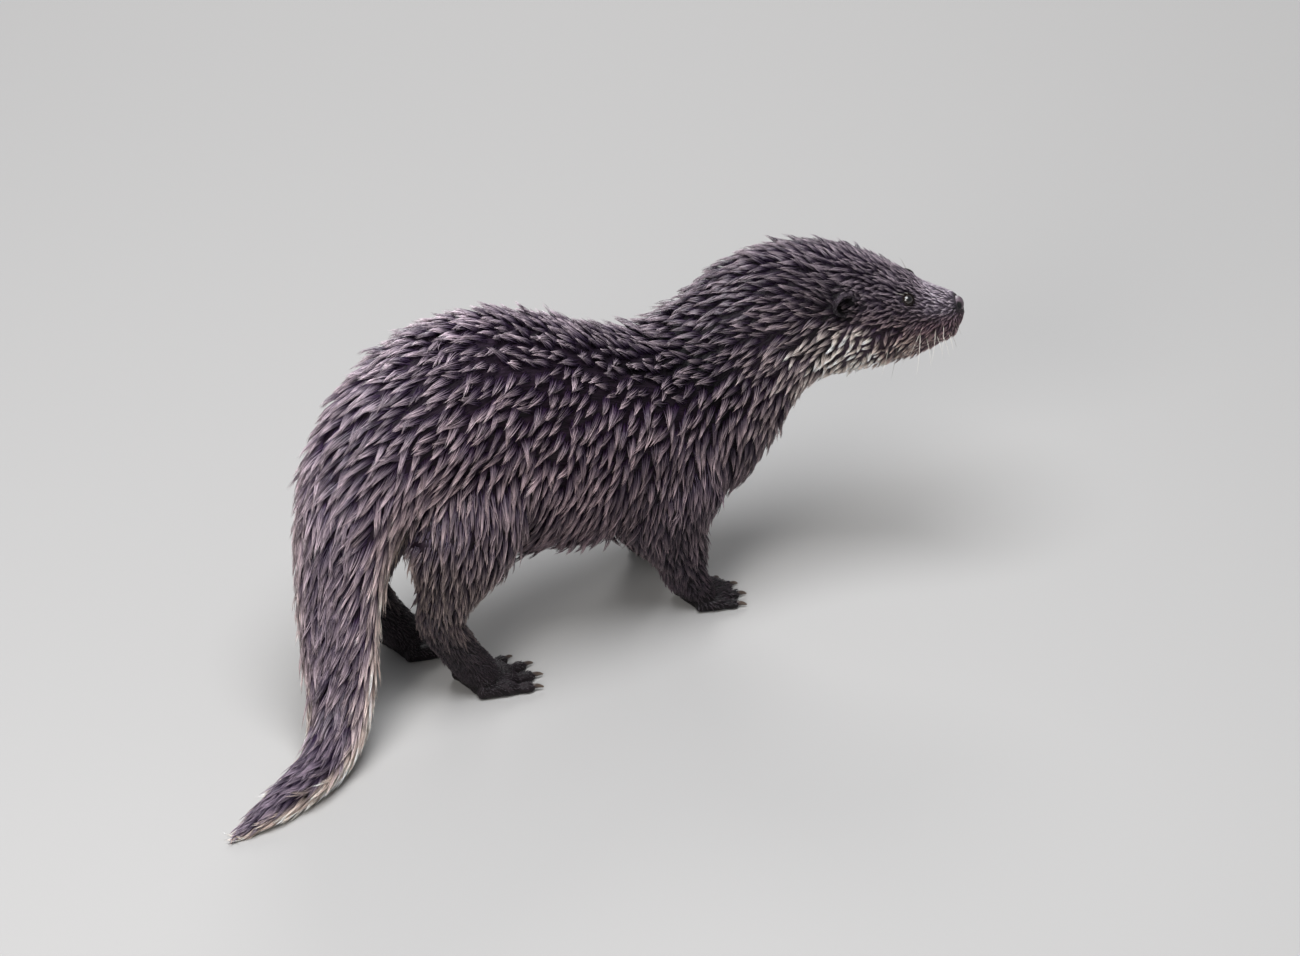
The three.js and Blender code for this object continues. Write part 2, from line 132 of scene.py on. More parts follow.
LEGS = [
    dict(name="hind", side="right", at=(-144, -18), out=-1, sections=HIND_SECTIONS, foot=HIND_FOOT),
    dict(name="hind", side="left", at=(-160, 70), out=1, sections=HIND_SECTIONS, foot=HIND_FOOT),
    dict(name="front", side="right", at=(84, -12), out=-1, sections=FRONT_SECTIONS, foot=FRONT_FOOT),
    dict(name="front", side="left", at=(98, 72), out=1, sections=FRONT_SECTIONS, foot=FRONT_FOOT),
]
TOE_INSET = 7  # of the outer toes' roots from the sides of the ball of the foot
TOE_SET_BACK = 4
TOE_ROUND = 0.42 * 1.8  # how long the round end of a toe is, as a share of the size of its tip
TOE_END = TOE_ROUND * 0.81  # from a toe's last section to the flat at its end, as a share of the same
WEB_DRAWN_IN = 0.2
WEB_THICK = 2.6
FOOT_SKIN = 0.6  # how far the skin of a foot lies inside its solid

# ---------- The frame of the head ----------

HEAD_TURN = np.array(Matrix.Rotation(HEAD_YAW, 3, "Z"))


def from_head(points):
    """Points of the head's frame in the frame of the body."""
    return np.asarray(points, float) @ HEAD_TURN.T + NAPE


def to_head(points):
    """Points of the frame of the body in that of the head."""
    return (np.asarray(points, float) - NAPE) @ HEAD_TURN


# ---------- Curves and lofts ----------


def through(points, at):
    """A centripetal Catmull-Rom curve through the rows of points, at section numbers at."""
    rows = np.asarray(points, float)
    ends = np.vstack([2 * rows[0] - rows[1], rows, 2 * rows[-1] - rows[-2]])
    at = np.clip(at, 0, len(rows) - 1)
    first = np.minimum(at.astype(int), len(rows) - 2)
    w = (at - first)[:, None]
    p0, p1, p2, p3 = (ends[first + k] for k in range(4))

    def knot(a, b):
        return np.maximum(((a - b) ** 2).sum(1) ** 0.25, 1e-4)[:, None]

    d0, d1, d2 = knot(p0, p1), knot(p1, p2), knot(p2, p3)
    leave = ((p1 - p0) / d0 - (p2 - p0) / (d0 + d1) + (p2 - p1) / d1) * d1
    reach = ((p2 - p1) / d1 - (p3 - p1) / (d1 + d2) + (p3 - p2) / d2) * d1
    bend = w * w * (3 * (p2 - p1) - 2 * leave - reach) + w**3 * (2 * (p1 - p2) + leave + reach)
    return p1 + w * leave + bend


def unit(vectors):
    return vectors / np.maximum(np.linalg.norm(vectors, axis=-1, keepdims=True), 1e-9)


def sweep(sections, steps, across=None):
    """Rings of a form through sections: their centres, frames (forward, left, up) and reaches."""
    rows = np.asarray(sections, float)
    at = np.linspace(0, len(rows) - 1, int((len(rows) - 1) * steps) + 1)
    middle = through(rows[:, :3], at)
    forward = unit(through(rows[:, :3], at + 1e-3) - through(rows[:, :3], at - 1e-3))
    hint = np.cross((0, 0, 1), forward)
    if across is not None:
        hint = np.tile(np.asarray(across, float), (len(at), 1))
    left = unit(hint - (hint * forward).sum(1)[:, None] * forward)
    up = np.cross(forward, left)
    size = through(rows[:, 3:6], at) - np.interp(at, range(len(rows)), rows[:, 6])[:, None]
    return dict(at=at, middle=middle, forward=forward, left=left, up=up, size=size)


def with_ends(rings, depths, steps=5):
    """The rings with rounded ends."""
    made = {k: [v] for k, v in rings.items()}
    for sign, depth, row in ((-1, depths[0], 0), (1, depths[1], -1)):
        angle = np.linspace(0, 0.97, steps + 1)[1:] * math.pi / 2
        ring = {k: np.repeat(v[[row]], steps, axis=0) for k, v in rings.items()}
        ring["middle"] = ring["middle"] + sign * depth * np.sin(angle)[:, None] * ring["forward"]
        ring["size"] = ring["size"] * np.cos(angle)[:, None]
        for k, v in ring.items():
            made[k].insert(0, v[::-1]) if sign < 0 else made[k].append(v)
    return {k: np.concatenate(v) for k, v in made.items()}


def loft(rings, sides, fullness=FULLNESS):
    """Points and faces of a closed form over rings."""
    angle = np.arange(sides) / sides * 2 * math.pi
    aside = np.sign(np.cos(angle)) * np.abs(np.cos(angle)) ** (2 / fullness)
    rise = np.sign(np.sin(angle)) * np.abs(np.sin(angle)) ** (2 / fullness)
    size = rings["size"]
    height = np.where(rise > 0, rise * size[:, 1:2], rise * size[:, 2:3])
    points = (
        rings["middle"][:, None]
        + (aside * size[:, :1])[..., None] * rings["left"][:, None]
        + height[..., None] * rings["up"][:, None]
    )
    count = len(size)
    ring, side = np.meshgrid(np.arange(count - 1), np.arange(sides), indexing="ij")
    beside = (side + 1) % sides
    this, following = ring * sides, (ring + 1) * sides
    quads = np.stack([this + side, this + beside, following + beside, following + side])
    faces = [tuple(f) for f in quads.reshape(4, -1).T]
    faces.append(tuple(range(sides))[::-1])
    faces.append(tuple(range((count - 1) * sides, count * sides)))
    return points, faces


def upright(count):
    """Frames of rings that stand across x."""
    return {k: np.tile(v, (count, 1)) for k, v in zip(("forward", "left", "up"), np.eye(3))}


def ellipsoid(at, size, around=32, rings=20):
    """An ellipsoid as rings along x."""
    angle = np.linspace(0.03, math.pi - 0.03, rings)
    share = np.sin(angle)[:, None]
    middle = np.asarray(at, float) + np.stack([-np.cos(angle) * size[0], 0 * angle, 0 * angle], 1)
    reach = share * np.array((size[1], size[2], size[2]))
    return loft(dict(middle=middle, size=reach, **upright(rings)), around, 2)


# ---------- The forms of the flesh ----------


class Forms:
    """The closed forms that make up the flesh, with a place, a lie of the coat and a region at each point."""

    def __init__(self):
        self.points, self.faces, self.count = [], [], 0
        self.tags = []

    def add(self, points, faces, region, place=None, lie=None):
        flat = points.reshape(-1, 3)
        self.faces += [tuple(i + self.count for i in f) for f in faces]
        self.points.append(flat)
        self.count += len(flat)
        if place is not None:
            self.tags.append((flat, np.full(len(flat), region), place.reshape(-1, 2), lie.reshape(-1, 3)))


BODY, LEG, EARS = 0, 1, 5  # regions; the four legs are 1 to 4
RIGHT_EAR = 2  # added to the places on the right ear. An ear's places run from 0, its back, to 1, its hollow
EAR_FUR = 0.57  # where on an ear the locks end
EAR_DARK = 0.66  # and where its hollow begins, painted dark as shade
forms = Forms()

HEAD_ROWS = [(*from_head((x, 0, z)), side, top, under, depth) for x, z, side, top, under, depth in HEAD]
SPINE = TAIL + TRUNK + HEAD_ROWS


def place_of(points, at):
    """Section number and turn round the form, for each point of rings."""
    turn = np.arange(points.shape[1]) / points.shape[1]
    return np.stack(np.broadcast_arrays(at[:, None], turn[None]), -1).astype(float)


def add_body():
    rings = with_ends(sweep(SPINE, 14), (4, 2.5))
    points, faces = loft(rings, 72)
    lie = np.broadcast_to(-rings["forward"][:, None], points.shape)
    forms.add(points, faces, BODY, place_of(points, rings["at"]), lie)


def add_head_parts():
    for side in (1, -1):
        x, y, z = LIP_PAD["at"]
        points, faces = ellipsoid((x, side * y, z), LIP_PAD["size"])
        forms.add(from_head(points), faces, BODY)
    rows = [(x, 0, z, side, top, under, depth) for x, z, side, top, under, depth in JAW]
    points, faces = loft(with_ends(sweep(rows, 6), (8, 3)), 40)
    forms.add(from_head(points), faces, BODY)


def ear_form(side):
    """A small cup: out over its back to the rim, then down into the hollow."""
    angle = np.linspace(0.05, 2.15, 18)
    back = angle[:-1][::-1]
    wall = EAR["wall"]
    outside = np.stack([-np.cos(angle) * EAR["long"], np.sin(angle)], 1)
    inside = np.stack([-np.cos(back) * (EAR["long"] - wall) + 0.25 * wall, np.sin(back)], 1)
    rows = np.vstack([outside, inside])
    shrink = np.r_[np.zeros(len(outside)), np.full(len(inside), wall)]
    size = np.stack([rows[:, 1] * (EAR["wide"] - shrink), rows[:, 1] * (EAR["high"] - shrink)], 1)
    out = Matrix.Rotation(side * EAR["turn"], 3, "Z")
    turn = np.array(out @ Matrix.Rotation(-side * EAR["lean"], 3, "X"))
    x, y, z = EAR["at"]
    middle = np.stack([rows[:, 0], 0 * rows[:, 0], 0 * rows[:, 0]], 1)
    rings = dict(middle=middle, size=size[:, [0, 1, 1]], **upright(len(rows)))
    points, faces = loft(rings, 32, 2)
    return from_head(points @ turn.T + (x, side * y, z)), faces


def add_ears():
    """Both ears. Only what stands out from the head counts as ear."""
    for side in (1, -1):
        points, faces = ear_form(side)
        at = np.linspace(0, 1, points.shape[0])
        lie = np.broadcast_to(HEAD_TURN @ (-0.5, 0.4 * side, 0.8), points.shape)
        place = place_of(points, at + (0 if side > 0 else RIGHT_EAR))
        forms.add(points, faces, EARS, place, lie)
        outside = np.abs(to_head(points.reshape(-1, 3))[:, 1]) > EAR["at"][1] - 1
        forms.tags[-1] = tuple(values[outside] for values in forms.tags[-1])


def leg_frame(leg, points):
    """Points of a leg's frame, y outwards, in the frame of the body."""
    return np.asarray(points, float) * (1, leg["out"], 1) + (*leg["at"], 0)


def outwards(leg, faces):
    """The faces of a form in a leg's frame, turned round where that frame is a mirror image."""
    return faces if leg["out"] > 0 else [face[::-1] for face in faces]


def toes_of(leg):
    """Root, tip, direction and length of each toe, in the leg's frame."""
    foot = leg["foot"]
    ball = leg["sections"][-1]
    middle = (len(foot["toes"]) - 1) / 2
    toes = []
    for i, length in enumerate(foot["toes"]):
        share = (i - middle) / middle
        angle = share * foot["spread"] / 2
        x, y = ball[0] - TOE_SET_BACK * abs(share), share * (ball[3] - TOE_INSET)
        root = np.array((x, y, foot["root"] - 1))
        along = np.array((math.cos(angle), math.sin(angle), 0))
        toes.append(dict(root=root, along=along, length=length, tip=root + along * length))
    return toes


def add_toe(leg, toe):
    """A toe with its knuckle and a swollen pad at its end."""
    foot = leg["foot"]
    root, tip, reach = foot["root"] - FOOT_SKIN, foot["tip"] - FOOT_SKIN, toe["length"]
    course = (  # share of the length, half width, and height as a share of it
        (-0.15, root, 0.9),
        (0.25, 0.9 * root, 0.92),
        (0.5, 0.5 * (root + tip), 1.04),
        (0.72, 0.86 * tip, 0.86),
        (0.93, tip, 0.86),
        (1.0, 0.9 * tip, 0.8),
    )
    rows = []
    for share, size, height in course:
        x, y, _ = toe["root"] + toe["along"] * reach * share
        rows.append((x, y, size - 1, size, size * height, size, 0))
    points, faces = loft(with_ends(sweep(rows, 4, (0, 1, 0)), (3, TOE_ROUND * tip)), 24)
    forms.add(leg_frame(leg, points), outwards(leg, faces), LEG)


def add_web(leg, toes):
    """The web: a thin fan between each pair of toes, its edge drawn in between them."""
    share = leg["foot"]["web"]
    across = np.linspace(0, 1, 9)[:, None]
    far = share * (1 - WEB_DRAWN_IN * 4 * across * (1 - across))
    for one, other in zip(toes, toes[1:]):
        edge = (one["root"] * (1 - across) + other["root"] * across) + far * (
            one["along"] * one["length"] * (1 - across) + other["along"] * other["length"] * across
        )
        near = one["root"] * (1 - across) + other["root"] * across
        flat = np.vstack([near, edge[::-1]])
        low, high = (flat * (1, 1, 0) + (0, 0, z) for z in (0.1, WEB_THICK))
        n = len(flat)
        faces = [tuple(range(n))[::-1], tuple(range(n, 2 * n))]
        faces += [(i, (i + 1) % n, n + (i + 1) % n, n + i) for i in range(n)]
        forms.add(leg_frame(leg, np.vstack([low, high])), faces, LEG)


def add_leg(number, leg):
    region = LEG + number
    rings = with_ends(sweep(leg["sections"], 12, (0, 1, 0)), (20, 5))
    points, faces = loft(rings, 48)
    placed = leg_frame(leg, points)
    lie = np.broadcast_to((rings["forward"] * (1, leg["out"], 1))[:, None], points.shape)
    forms.add(placed, outwards(leg, faces), region, place_of(points, rings["at"]), lie)
    ball = leg["sections"][-1]
    high = leg["foot"]["root"] - FOOT_SKIN
    points, faces = ellipsoid((ball[0] + 0.4 * ball[3], 0, high - 1), (ball[3] - 1, ball[3] - 1, high))
    forms.add(leg_frame(leg, points), faces, LEG)
    toes = toes_of(leg)
    for toe in toes:
        add_toe(leg, toe)
    add_web(leg, toes)


add_body()
add_head_parts()
add_ears()
for number, leg in enumerate(LEGS):
    add_leg(number, leg)


# ---------- One skin ----------


def new_object(name, points, faces):
    """A mesh object from points in millimetres in the frame of the body."""
    mesh = bpy.data.meshes.new(name)
    mesh.from_pydata(((np.asarray(points) + SHIFT) * MM).tolist(), [], faces)
    mesh.update()
    mesh.shade_smooth()
    made = bpy.data.objects.new(name, mesh)
    bpy.context.scene.collection.objects.link(made)
    return made


def read(items, name, kind=np.float32, wide=3):
    """The values of an attribute of all the items, in a row for each."""
    flat = np.empty(len(items) * wide, kind)
    items.foreach_get(name, flat)
    return flat.reshape(-1, wide)


def read_points(mesh):
    """A mesh's points in millimetres in the frame of the body."""
    return read(mesh.vertices, "co").astype(float) / MM - SHIFT


def write_points(mesh, points):
    mesh.vertices.foreach_set("co", ((points + SHIFT) * MM).astype(np.float32).ravel())
    mesh.update()


def read_normals(mesh):
    return read(mesh.vertex_normals, "vector").astype(float)


def read_edges(mesh):
    return read(mesh.edges, "vertices", np.int32, 2)


def read_triangles(mesh):
    mesh.calc_loop_triangles()
    return read(mesh.loop_triangles, "vertices", np.int32)


def spread(values, edges, rounds, weight=None):
    """Values at the points of a mesh, drawn half way to the mean of their neighbours, or less by a weight."""
    count = len(values)
    degree = np.maximum(np.bincount(edges.ravel(), minlength=count), 1)[:, None]
    amount = 0.5 if weight is None else 0.5 * weight[:, None]
    for _ in range(rounds):
        total = np.empty_like(values)
        for k in range(values.shape[1]):
            column = values[:, k]
            total[:, k] = np.bincount(edges[:, 0], column[edges[:, 1]], count)
            total[:, k] += np.bincount(edges[:, 1], column[edges[:, 0]], count)
        values = values + amount * (total / degree - values)
    return values


def apply_modifiers(made):
    """Puts what the modifiers of an object make in the place of its mesh."""
    graph = bpy.context.evaluated_depsgraph_get()
    old = made.data
    made.data = bpy.data.meshes.new_from_object(made.evaluated_get(graph))
    made.modifiers.clear()
    bpy.data.meshes.remove(old)


VOXEL = 1.3  # of the remesh that makes one form of all
SKIN_KEPT = 0.19  # share of the faces that stay when the skin is thinned out
SMOOTHING = (24, 3)  # rounds of smoothing, before and after the feet are drawn up to the floor
CALM = 0.85  # how much less the fine places are smoothed
COARSE_TO = (15, 40)  # the skin is thinned out up to the first place along the head, not past the second
COARSE_LEVELS = 5
THINNING = 4  # how strongly the thinning keeps to the coarse places
MUZZLE_FROM = 85  # the muzzle's skin is divided once from here on
AROUND_EYES = (17, 11.5)  # the skin is divided once within the first distance, and again within the second
SOLE = 2.6  # height under which the skin is drawn up to the floor


def near(points, centre, radius):
    """1 at a centre, falling smoothly to 0 at a radius."""
    away = np.clip(np.linalg.norm(points - centre, axis=-1) / radius, 0, 1)
    return (1 - away**2) ** 2


def step(values, low, high):
    """0 up to low, 1 from high on, and smooth in between."""
    share = np.clip((values - low) / (high - low), 0, 1)
    return share * share * (3 - 2 * share)


def bump(values, centre, width):
    """1 at a centre, falling to 0 on both sides."""
    return np.exp(-(((values - centre) / width) ** 2))


def draw_up(points):
    """Points above the floor: what lies under it is drawn up, and rounded where it meets the floor."""
    low = points[:, 2] < SOLE
    points[low, 2] = SOLE * np.exp(points[low, 2] / SOLE - 1)
    return points


def fine_places(points):
    """1 where the skin keeps its detail: at the feet and the ears."""
    fine = 1 - step(points[:, 2], 20, 40)
    for side in (1, -1):
        ear = from_head(np.array(EAR["at"]) * (1, side, 1))
        fine = np.maximum(fine, step(near(points, ear, 26), 0.1, 0.4))
    return fine


def refine(made, wanted):
    """Divides the faces whose middles are at the wanted places."""
    work = bmesh.new()
    work.from_mesh(made.data)
    middles = np.array([f.calc_center_median() for f in work.faces]) / MM - SHIFT
    edges = {edge for face, chosen in zip(work.faces, wanted(middles)) if chosen for edge in face.edges}
    bmesh.ops.subdivide_edges(work, edges=list(edges), cuts=1, use_grid_fill=True)
    bmesh.ops.triangulate(work, faces=[face for face in work.faces if len(face.verts) > 3])
    work.to_mesh(made.data)
    work.free()
    made.data.update()
    made.data.shade_smooth()


def eye_distance(points):
    """How far points are from the middle of the nearer eye."""
    head = to_head(points)
    return np.min([np.linalg.norm(head - EYE * (1, side, 1), axis=1) for side in (1, -1)], axis=0)


def on_muzzle(points):
    """Which points lie on the muzzle or around the eyes."""
    return (to_head(points)[:, 0] > MUZZLE_FROM) | (eye_distance(points) < AROUND_EYES[0])


def make_skin():
    """One mesh of all the forms, smoothed, coarse under long fur and fine on the muzzle and at the eyes."""
    skin = new_object("skin", np.vstack(forms.points), forms.faces)
    remesh = skin.modifiers.new("one_form", "REMESH")
    remesh.mode = "VOXEL"
    remesh.voxel_size = VOXEL * MM
    apply_modifiers(skin)
    points, edges = read_points(skin.data), read_edges(skin.data)
    fine = fine_places(points)
    head = to_head(points)
    calm = 1 - CALM * np.maximum(fine, 0.75 * step(head[:, 0], 55, 90))
    points = spread(points, edges, SMOOTHING[0], calm)
    points = draw_up(spread(points, edges, SMOOTHING[1]))
    write_points(skin.data, points)
    keep = skin.vertex_groups.new(name="coarse")
    coarse = np.clip(1 - np.maximum(fine, step(head[:, 0], *COARSE_TO)), 0, 1)
    for level in range(1, COARSE_LEVELS + 1):
        chosen = np.nonzero(np.round(coarse * COARSE_LEVELS) == level)[0]
        keep.add(chosen.tolist(), level / COARSE_LEVELS, "REPLACE")
    fewer = skin.modifiers.new("fewer", "DECIMATE")
    fewer.ratio = SKIN_KEPT
    fewer.vertex_group = "coarse"
    fewer.vertex_group_factor = THINNING
    apply_modifiers(skin)
    skin.vertex_groups.clear()
    refine(skin, on_muzzle)
    refine(skin, lambda middles: eye_distance(middles) < AROUND_EYES[1])
    return skin


def eye_frame(side):
    """The way an eye looks, the way along its slit to the front, and the way up, in the head's frame."""
    axis = unit(EYE_AXIS * (1, side, 1))
    along = np.array((1.0, 0, -0.12))
    along = unit(along - (along @ axis) * axis)
    return axis, along, side * np.cross(along, axis)


def shape_lids(head):
    """The skin around the eyes: open over the ball, draped on it at the rims, with a fold beyond each rim."""
    for side in (1, -1):
        centre = EYE * (1, side, 1)
        axis, along, up = eye_frame(side)
        away = head - centre
        a, b, c = away @ along, away @ up, away @ axis
        at = np.nonzero((a * a + b * b < SOCKET["radius"] ** 2) & (c > SOCKET["back"]))[0]
        a, b, c = a[at], b[at], c[at]
        share = (np.abs(a / OPENING[0]) ** 1.7 + np.abs(b / OPENING[1]) ** 1.7) ** (1 / 1.7)
        inside = share < 1
        pulled = np.maximum(share, 0.5)
        a[inside], b[inside] = a[inside] / pulled[inside], b[inside] / pulled[inside]
        drape = np.sqrt(np.maximum((EYE_RADIUS + LID) ** 2 - a * a - b * b, 0))
        rise = np.logaddexp(0, 1.4 * (drape - c)) / 1.4
        rim = c + rise * (1 - step(share, *SOCKET["fade"]))
        rim += LID_EDGE["high"] * bump(share, LID_EDGE["at"], LID_EDGE["wide"])
        fold = np.where(b > 0, LID_FOLD["upper"], LID_FOLD["lower"])
        rim -= fold * bump(share, LID_FOLD["at"], LID_FOLD["wide"])
        brow = bump(b, BROW["above"], BROW["wide"]) * bump(a, BROW["ahead"], BROW["long"])
        rim += BROW["high"] * brow * (share > 1.6)
        wall = drape - SOCKET["deep"] * (1 - pulled) / 0.5
        c = np.where(inside, wall, rim)
        head[at] = centre + a[:, None] * along + b[:, None] * up + c[:, None] * axis
    return head


def seat_nose(head):
    """The skin drawn back inside the nose pad, and swelling up to its rim around it."""
    away = (head - NOSE_PAD["at"]) / NOSE_PAD["size"]
    far = np.linalg.norm(away, axis=1)
    head[:, 0] -= 3.5 * step(0.96 - far, 0, 0.25)
    swell = 1.1 * bump(far, 1.15, 0.22) * (head[:, 2] > -3)
    return head + swell[:, None] * unit(away / NOSE_PAD["size"])


def deepen(points, edges, normals, head):
    """Creases of the muzzle made deeper, and how hollow the skin is at each point."""
    hollow = ((spread(points, edges, 6) - points) * normals).sum(1)
    mouth = step(head[:, 0], 74, 82) * step(-head[:, 2], 4, 12)
    depth = np.clip(hollow - 0.04, 0, 0.6) * 2.4 * mouth
    return points - depth[:, None] * normals, hollow


def shape_skin(skin):
    """The details that the forms leave out. Returns how hollow the skin is at each point."""
    edges = read_edges(skin.data)
    points = read_points(skin.data)
    divided = np.maximum(step(to_head(points)[:, 0], 80, 86), step(20 - eye_distance(points), 0, 4))
    points = spread(points, edges, 5, divided)
    write_points(skin.data, points)
    points, hollow = deepen(points, edges, read_normals(skin.data), to_head(points))
    write_points(skin.data, from_head(seat_nose(shape_lids(to_head(points)))))
    return hollow


skin = make_skin()
hollow = shape_skin(skin)


# ---------- Fields over the skin: places, lie of the coat, its size and its colours ----------


class Skin:
    """The skin's points, normals and edges, and for each point its region, its place there and the lie."""

    def __init__(self, mesh):
        self.points = read_points(mesh)
        self.edges = read_edges(mesh)
        self.normals = unit(spread(read_normals(mesh), self.edges, 8))
        tagged = np.vstack([t[0] for t in forms.tags])
        region = np.concatenate([t[1] for t in forms.tags])
        place = np.vstack([t[2] for t in forms.tags])
        lie = np.vstack([t[3] for t in forms.tags])
        tree = KDTree(len(tagged))
        for i, point in enumerate(tagged.tolist()):
            tree.insert(point, i)
        tree.balance()
        nearest = np.fromiter((tree.find(q)[1] for q in self.points.tolist()), int, len(self.points))
        self.region = region[nearest]
        self.at, self.turn = place[nearest].T
        self.lie = lie[nearest]
        self.head = to_head(self.points)


flesh = Skin(skin.data)
on_body = flesh.region == BODY
on_leg = (flesh.region >= LEG) & (flesh.region < EARS)
on_ear = flesh.region == EARS


def by_section(*knots):
    """Values at the points of the skin from pairs of section number and value, along the body or a leg."""
    at, value = zip(*knots)
    return np.interp(flesh.at, at, value)


def stretch(begin, end):
    """1 along a stretch of the body that begins between two sections and ends between two others."""
    return on_body * step(flesh.at, *begin) * (1 - step(flesh.at, *end))


def pick(body, leg, ear):
    """One value for each point: of the body, of a leg or of an ear."""
    return np.where(on_leg, leg, np.where(on_ear, ear, body))


def soft(values, rounds=12):
    return spread(np.asarray(values, float)[:, None], flesh.edges, rounds)[:, 0]


rise = np.where(on_body, np.sin(flesh.turn * 2 * math.pi), 0)  # 1 along the back, -1 under the belly


def in_skin(vectors):
    """Vectors without their part across the skin."""
    return vectors - (vectors * flesh.normals).sum(1)[:, None] * flesh.normals


# How far the coat lies downwards, by section number, low and high on the sides.
LIE_LOW = (
    (0, 0), (5, 0.1), (7, 0.6), (9, 1.2), (11, 1.5), (13, 1.5),
    (14.5, 1.6), (17, 1.3), (19, 1), (20, 1.8), (23, 3),
)
LIE_HIGH = (
    (0, 0), (5, 0.05), (7, 0.4), (8, 0.3), (9, 0.0), (12, -0.1),
    (13.5, 0), (15, -0.25), (17, -0.1), (19, 0), (20.5, 0.9), (23, 1.4),
)


def lie_field():
    """The direction in which the coat lies: back along the body, and down over the flanks and chest."""
    low, high = by_section(*LIE_LOW), by_section(*LIE_HIGH)
    down = (high + (low - high) * step(-rise, -0.6, 0.75)) * (1 - np.abs(flesh.normals[:, 2]))
    lie = flesh.lie.copy()
    lie[on_body] += down[on_body, None] * (0, 0, -1)
    lie[on_leg] += (0, 0, -0.15)
    lie = spread(unit(in_skin(lie)), flesh.edges, 24)
    return unit(in_skin(lie))


def by_ears(ahead, above, radius):
    """1 at a place so far ahead of each ear and above it, falling to 0 at a radius."""
    x, y, z = EAR["at"]
    places = [np.array((x + ahead, side * y, z + above)) for side in (1, -1)]
    return np.max([near(flesh.head, place, radius) for place in places], axis=0)


def ear_front():
    """1 on the skin just in front of and around the ears, where the coat is short so that they show."""
    return step(by_ears(8, 0, 30), 0.05, 0.6)


def mouth_crease():
    """1 in the line of the mouth and in the groove from it up to the nose."""
    x, y, z = flesh.head.T
    line = MOUTH["back"] + (MOUTH["front"] - MOUTH["back"]) * step(x, 104, 121)
    mouth = bump(z, line, MOUTH["wide"]) * step(x, MOUTH["corner"], MOUTH["corner"] + 6)
    groove = bump(y, 0, 0.8) * step(x, 114, 118) * step(z, MOUTH["front"], MOUTH["front"] + 2)
    groove = groove * step(-z, -2, 1)
    return on_body * np.maximum(mouth, groove)


# Length, width and height of the locks, by section number, on the body, on the legs and on the ears.
BODY_LENGTH = (
    (0, 14), (1, 26), (2, 36), (5, 40), (7, 33), (8, 27), (9, 23), (13, 22), (15, 21),
    (16, 18), (17, 16), (18, 12.5), (19, 9.5), (20, 8), (21, 7.5), (22, 6.5), (23, 4.5),
)
BODY_WIDTH = (
    (0, 4), (2, 6), (5, 8), (7, 9), (9, 9.4), (12, 9.4), (14, 8.8), (15, 7.8), (16, 6.6),
    (17, 5.4), (18, 4.2), (19, 3.3), (20, 3.1), (21, 3.1), (23, 2.6),
)
BODY_HEIGHT = (
    (0, 1), (1, 2.2), (2, 3.4), (4, 4.6), (6, 6.5), (8, 8), (12, 8.8), (14, 8.8),
    (16, 7.4), (17, 6), (18, 4.0), (19, 2.4), (20, 1.9), (21, 1.6), (23, 0.8),
)
LEG_LENGTH = ((0, 28), (1.5, 26), (2.6, 22), (3.4, 14), (4, 10), (5, 6.5), (6, 3.4))
LEG_WIDTH = ((0, 9.5), (1.5, 8.5), (2.6, 7.4), (3.4, 5), (4, 4), (5, 3.1), (6, 2.6))
LEG_HEIGHT = ((0, 11), (1, 9), (2.6, 7.5), (3.4, 4), (4, 2.8), (5, 1.7), (6, 0.8))
EAR_SIZE = (5.0, 2.2, 1.3)
THROAT_SIZE = (8.2, 5.2, 4.4)


def between(one, other, share):
    return one + (other - one) * share


def size_fields():
    """Length, width and height of the locks, how far they hang, and how far they stand apart."""
    stars = stretch((7.6, 9.2), (13.6, 15)) * step(rise, -0.75, -0.3)  # locks of the flank that stand out
    stars = stars * (1 - step(rise, 0.6, 0.92))
    fringe = stretch((7, 8.5), (13.5, 15)) * bump(-rise, 0.62, 0.33)
    throat = stretch((15, 16.2), (18.4, 19.6)) * step(-rise, -0.28, 0.02)
    bridge = on_body * step(flesh.at, 18.5, 20) * step(rise, 0.1, 0.7)
    under_tail = on_body * bump(flesh.at, 7.0, 0.6) * step(-rise, 0.15, 0.6)
    hanging = np.maximum(under_tail, fringe)
    short = (1 - 0.5 * ear_front()) * (1 - 0.45 * mouth_crease())
    tables = ((BODY_LENGTH, LEG_LENGTH), (BODY_WIDTH, LEG_WIDTH), (BODY_HEIGHT, LEG_HEIGHT))
    length, width, height = (
        between(pick(by_section(*body), by_section(*leg), ear), on_throat, 0.9 * throat)
        for (body, leg), ear, on_throat in zip(tables, EAR_SIZE, THROAT_SIZE)
    )
    length = length * (1 - 0.2 * stars) * (1 + 0.35 * hanging) * short
    width = width * (1 + 0.16 * stars) * (1 - 0.45 * fringe)
    height = height * (1 + 0.15 * stars) * short * (1 - 0.6 * bridge)
    return [soft(field) for field in (length, width, height, hanging, np.maximum(stars, 1.4 * throat))]


flesh.lie = lie_field()
flesh.length, flesh.width, flesh.height, flesh.hanging, flesh.apart = size_fields()

def srgb(*values):
    """A linear colour from 0 to 255 screen values."""
    share = np.asarray(values, float) / 255
    linear = np.where(share <= 0.04045, share / 12.92, ((share + 0.055) / 1.055) ** 2.4)
    return (*linear, 1.0)


def tone(*values):
    """The same without opacity."""
    return srgb(*values)[:3]


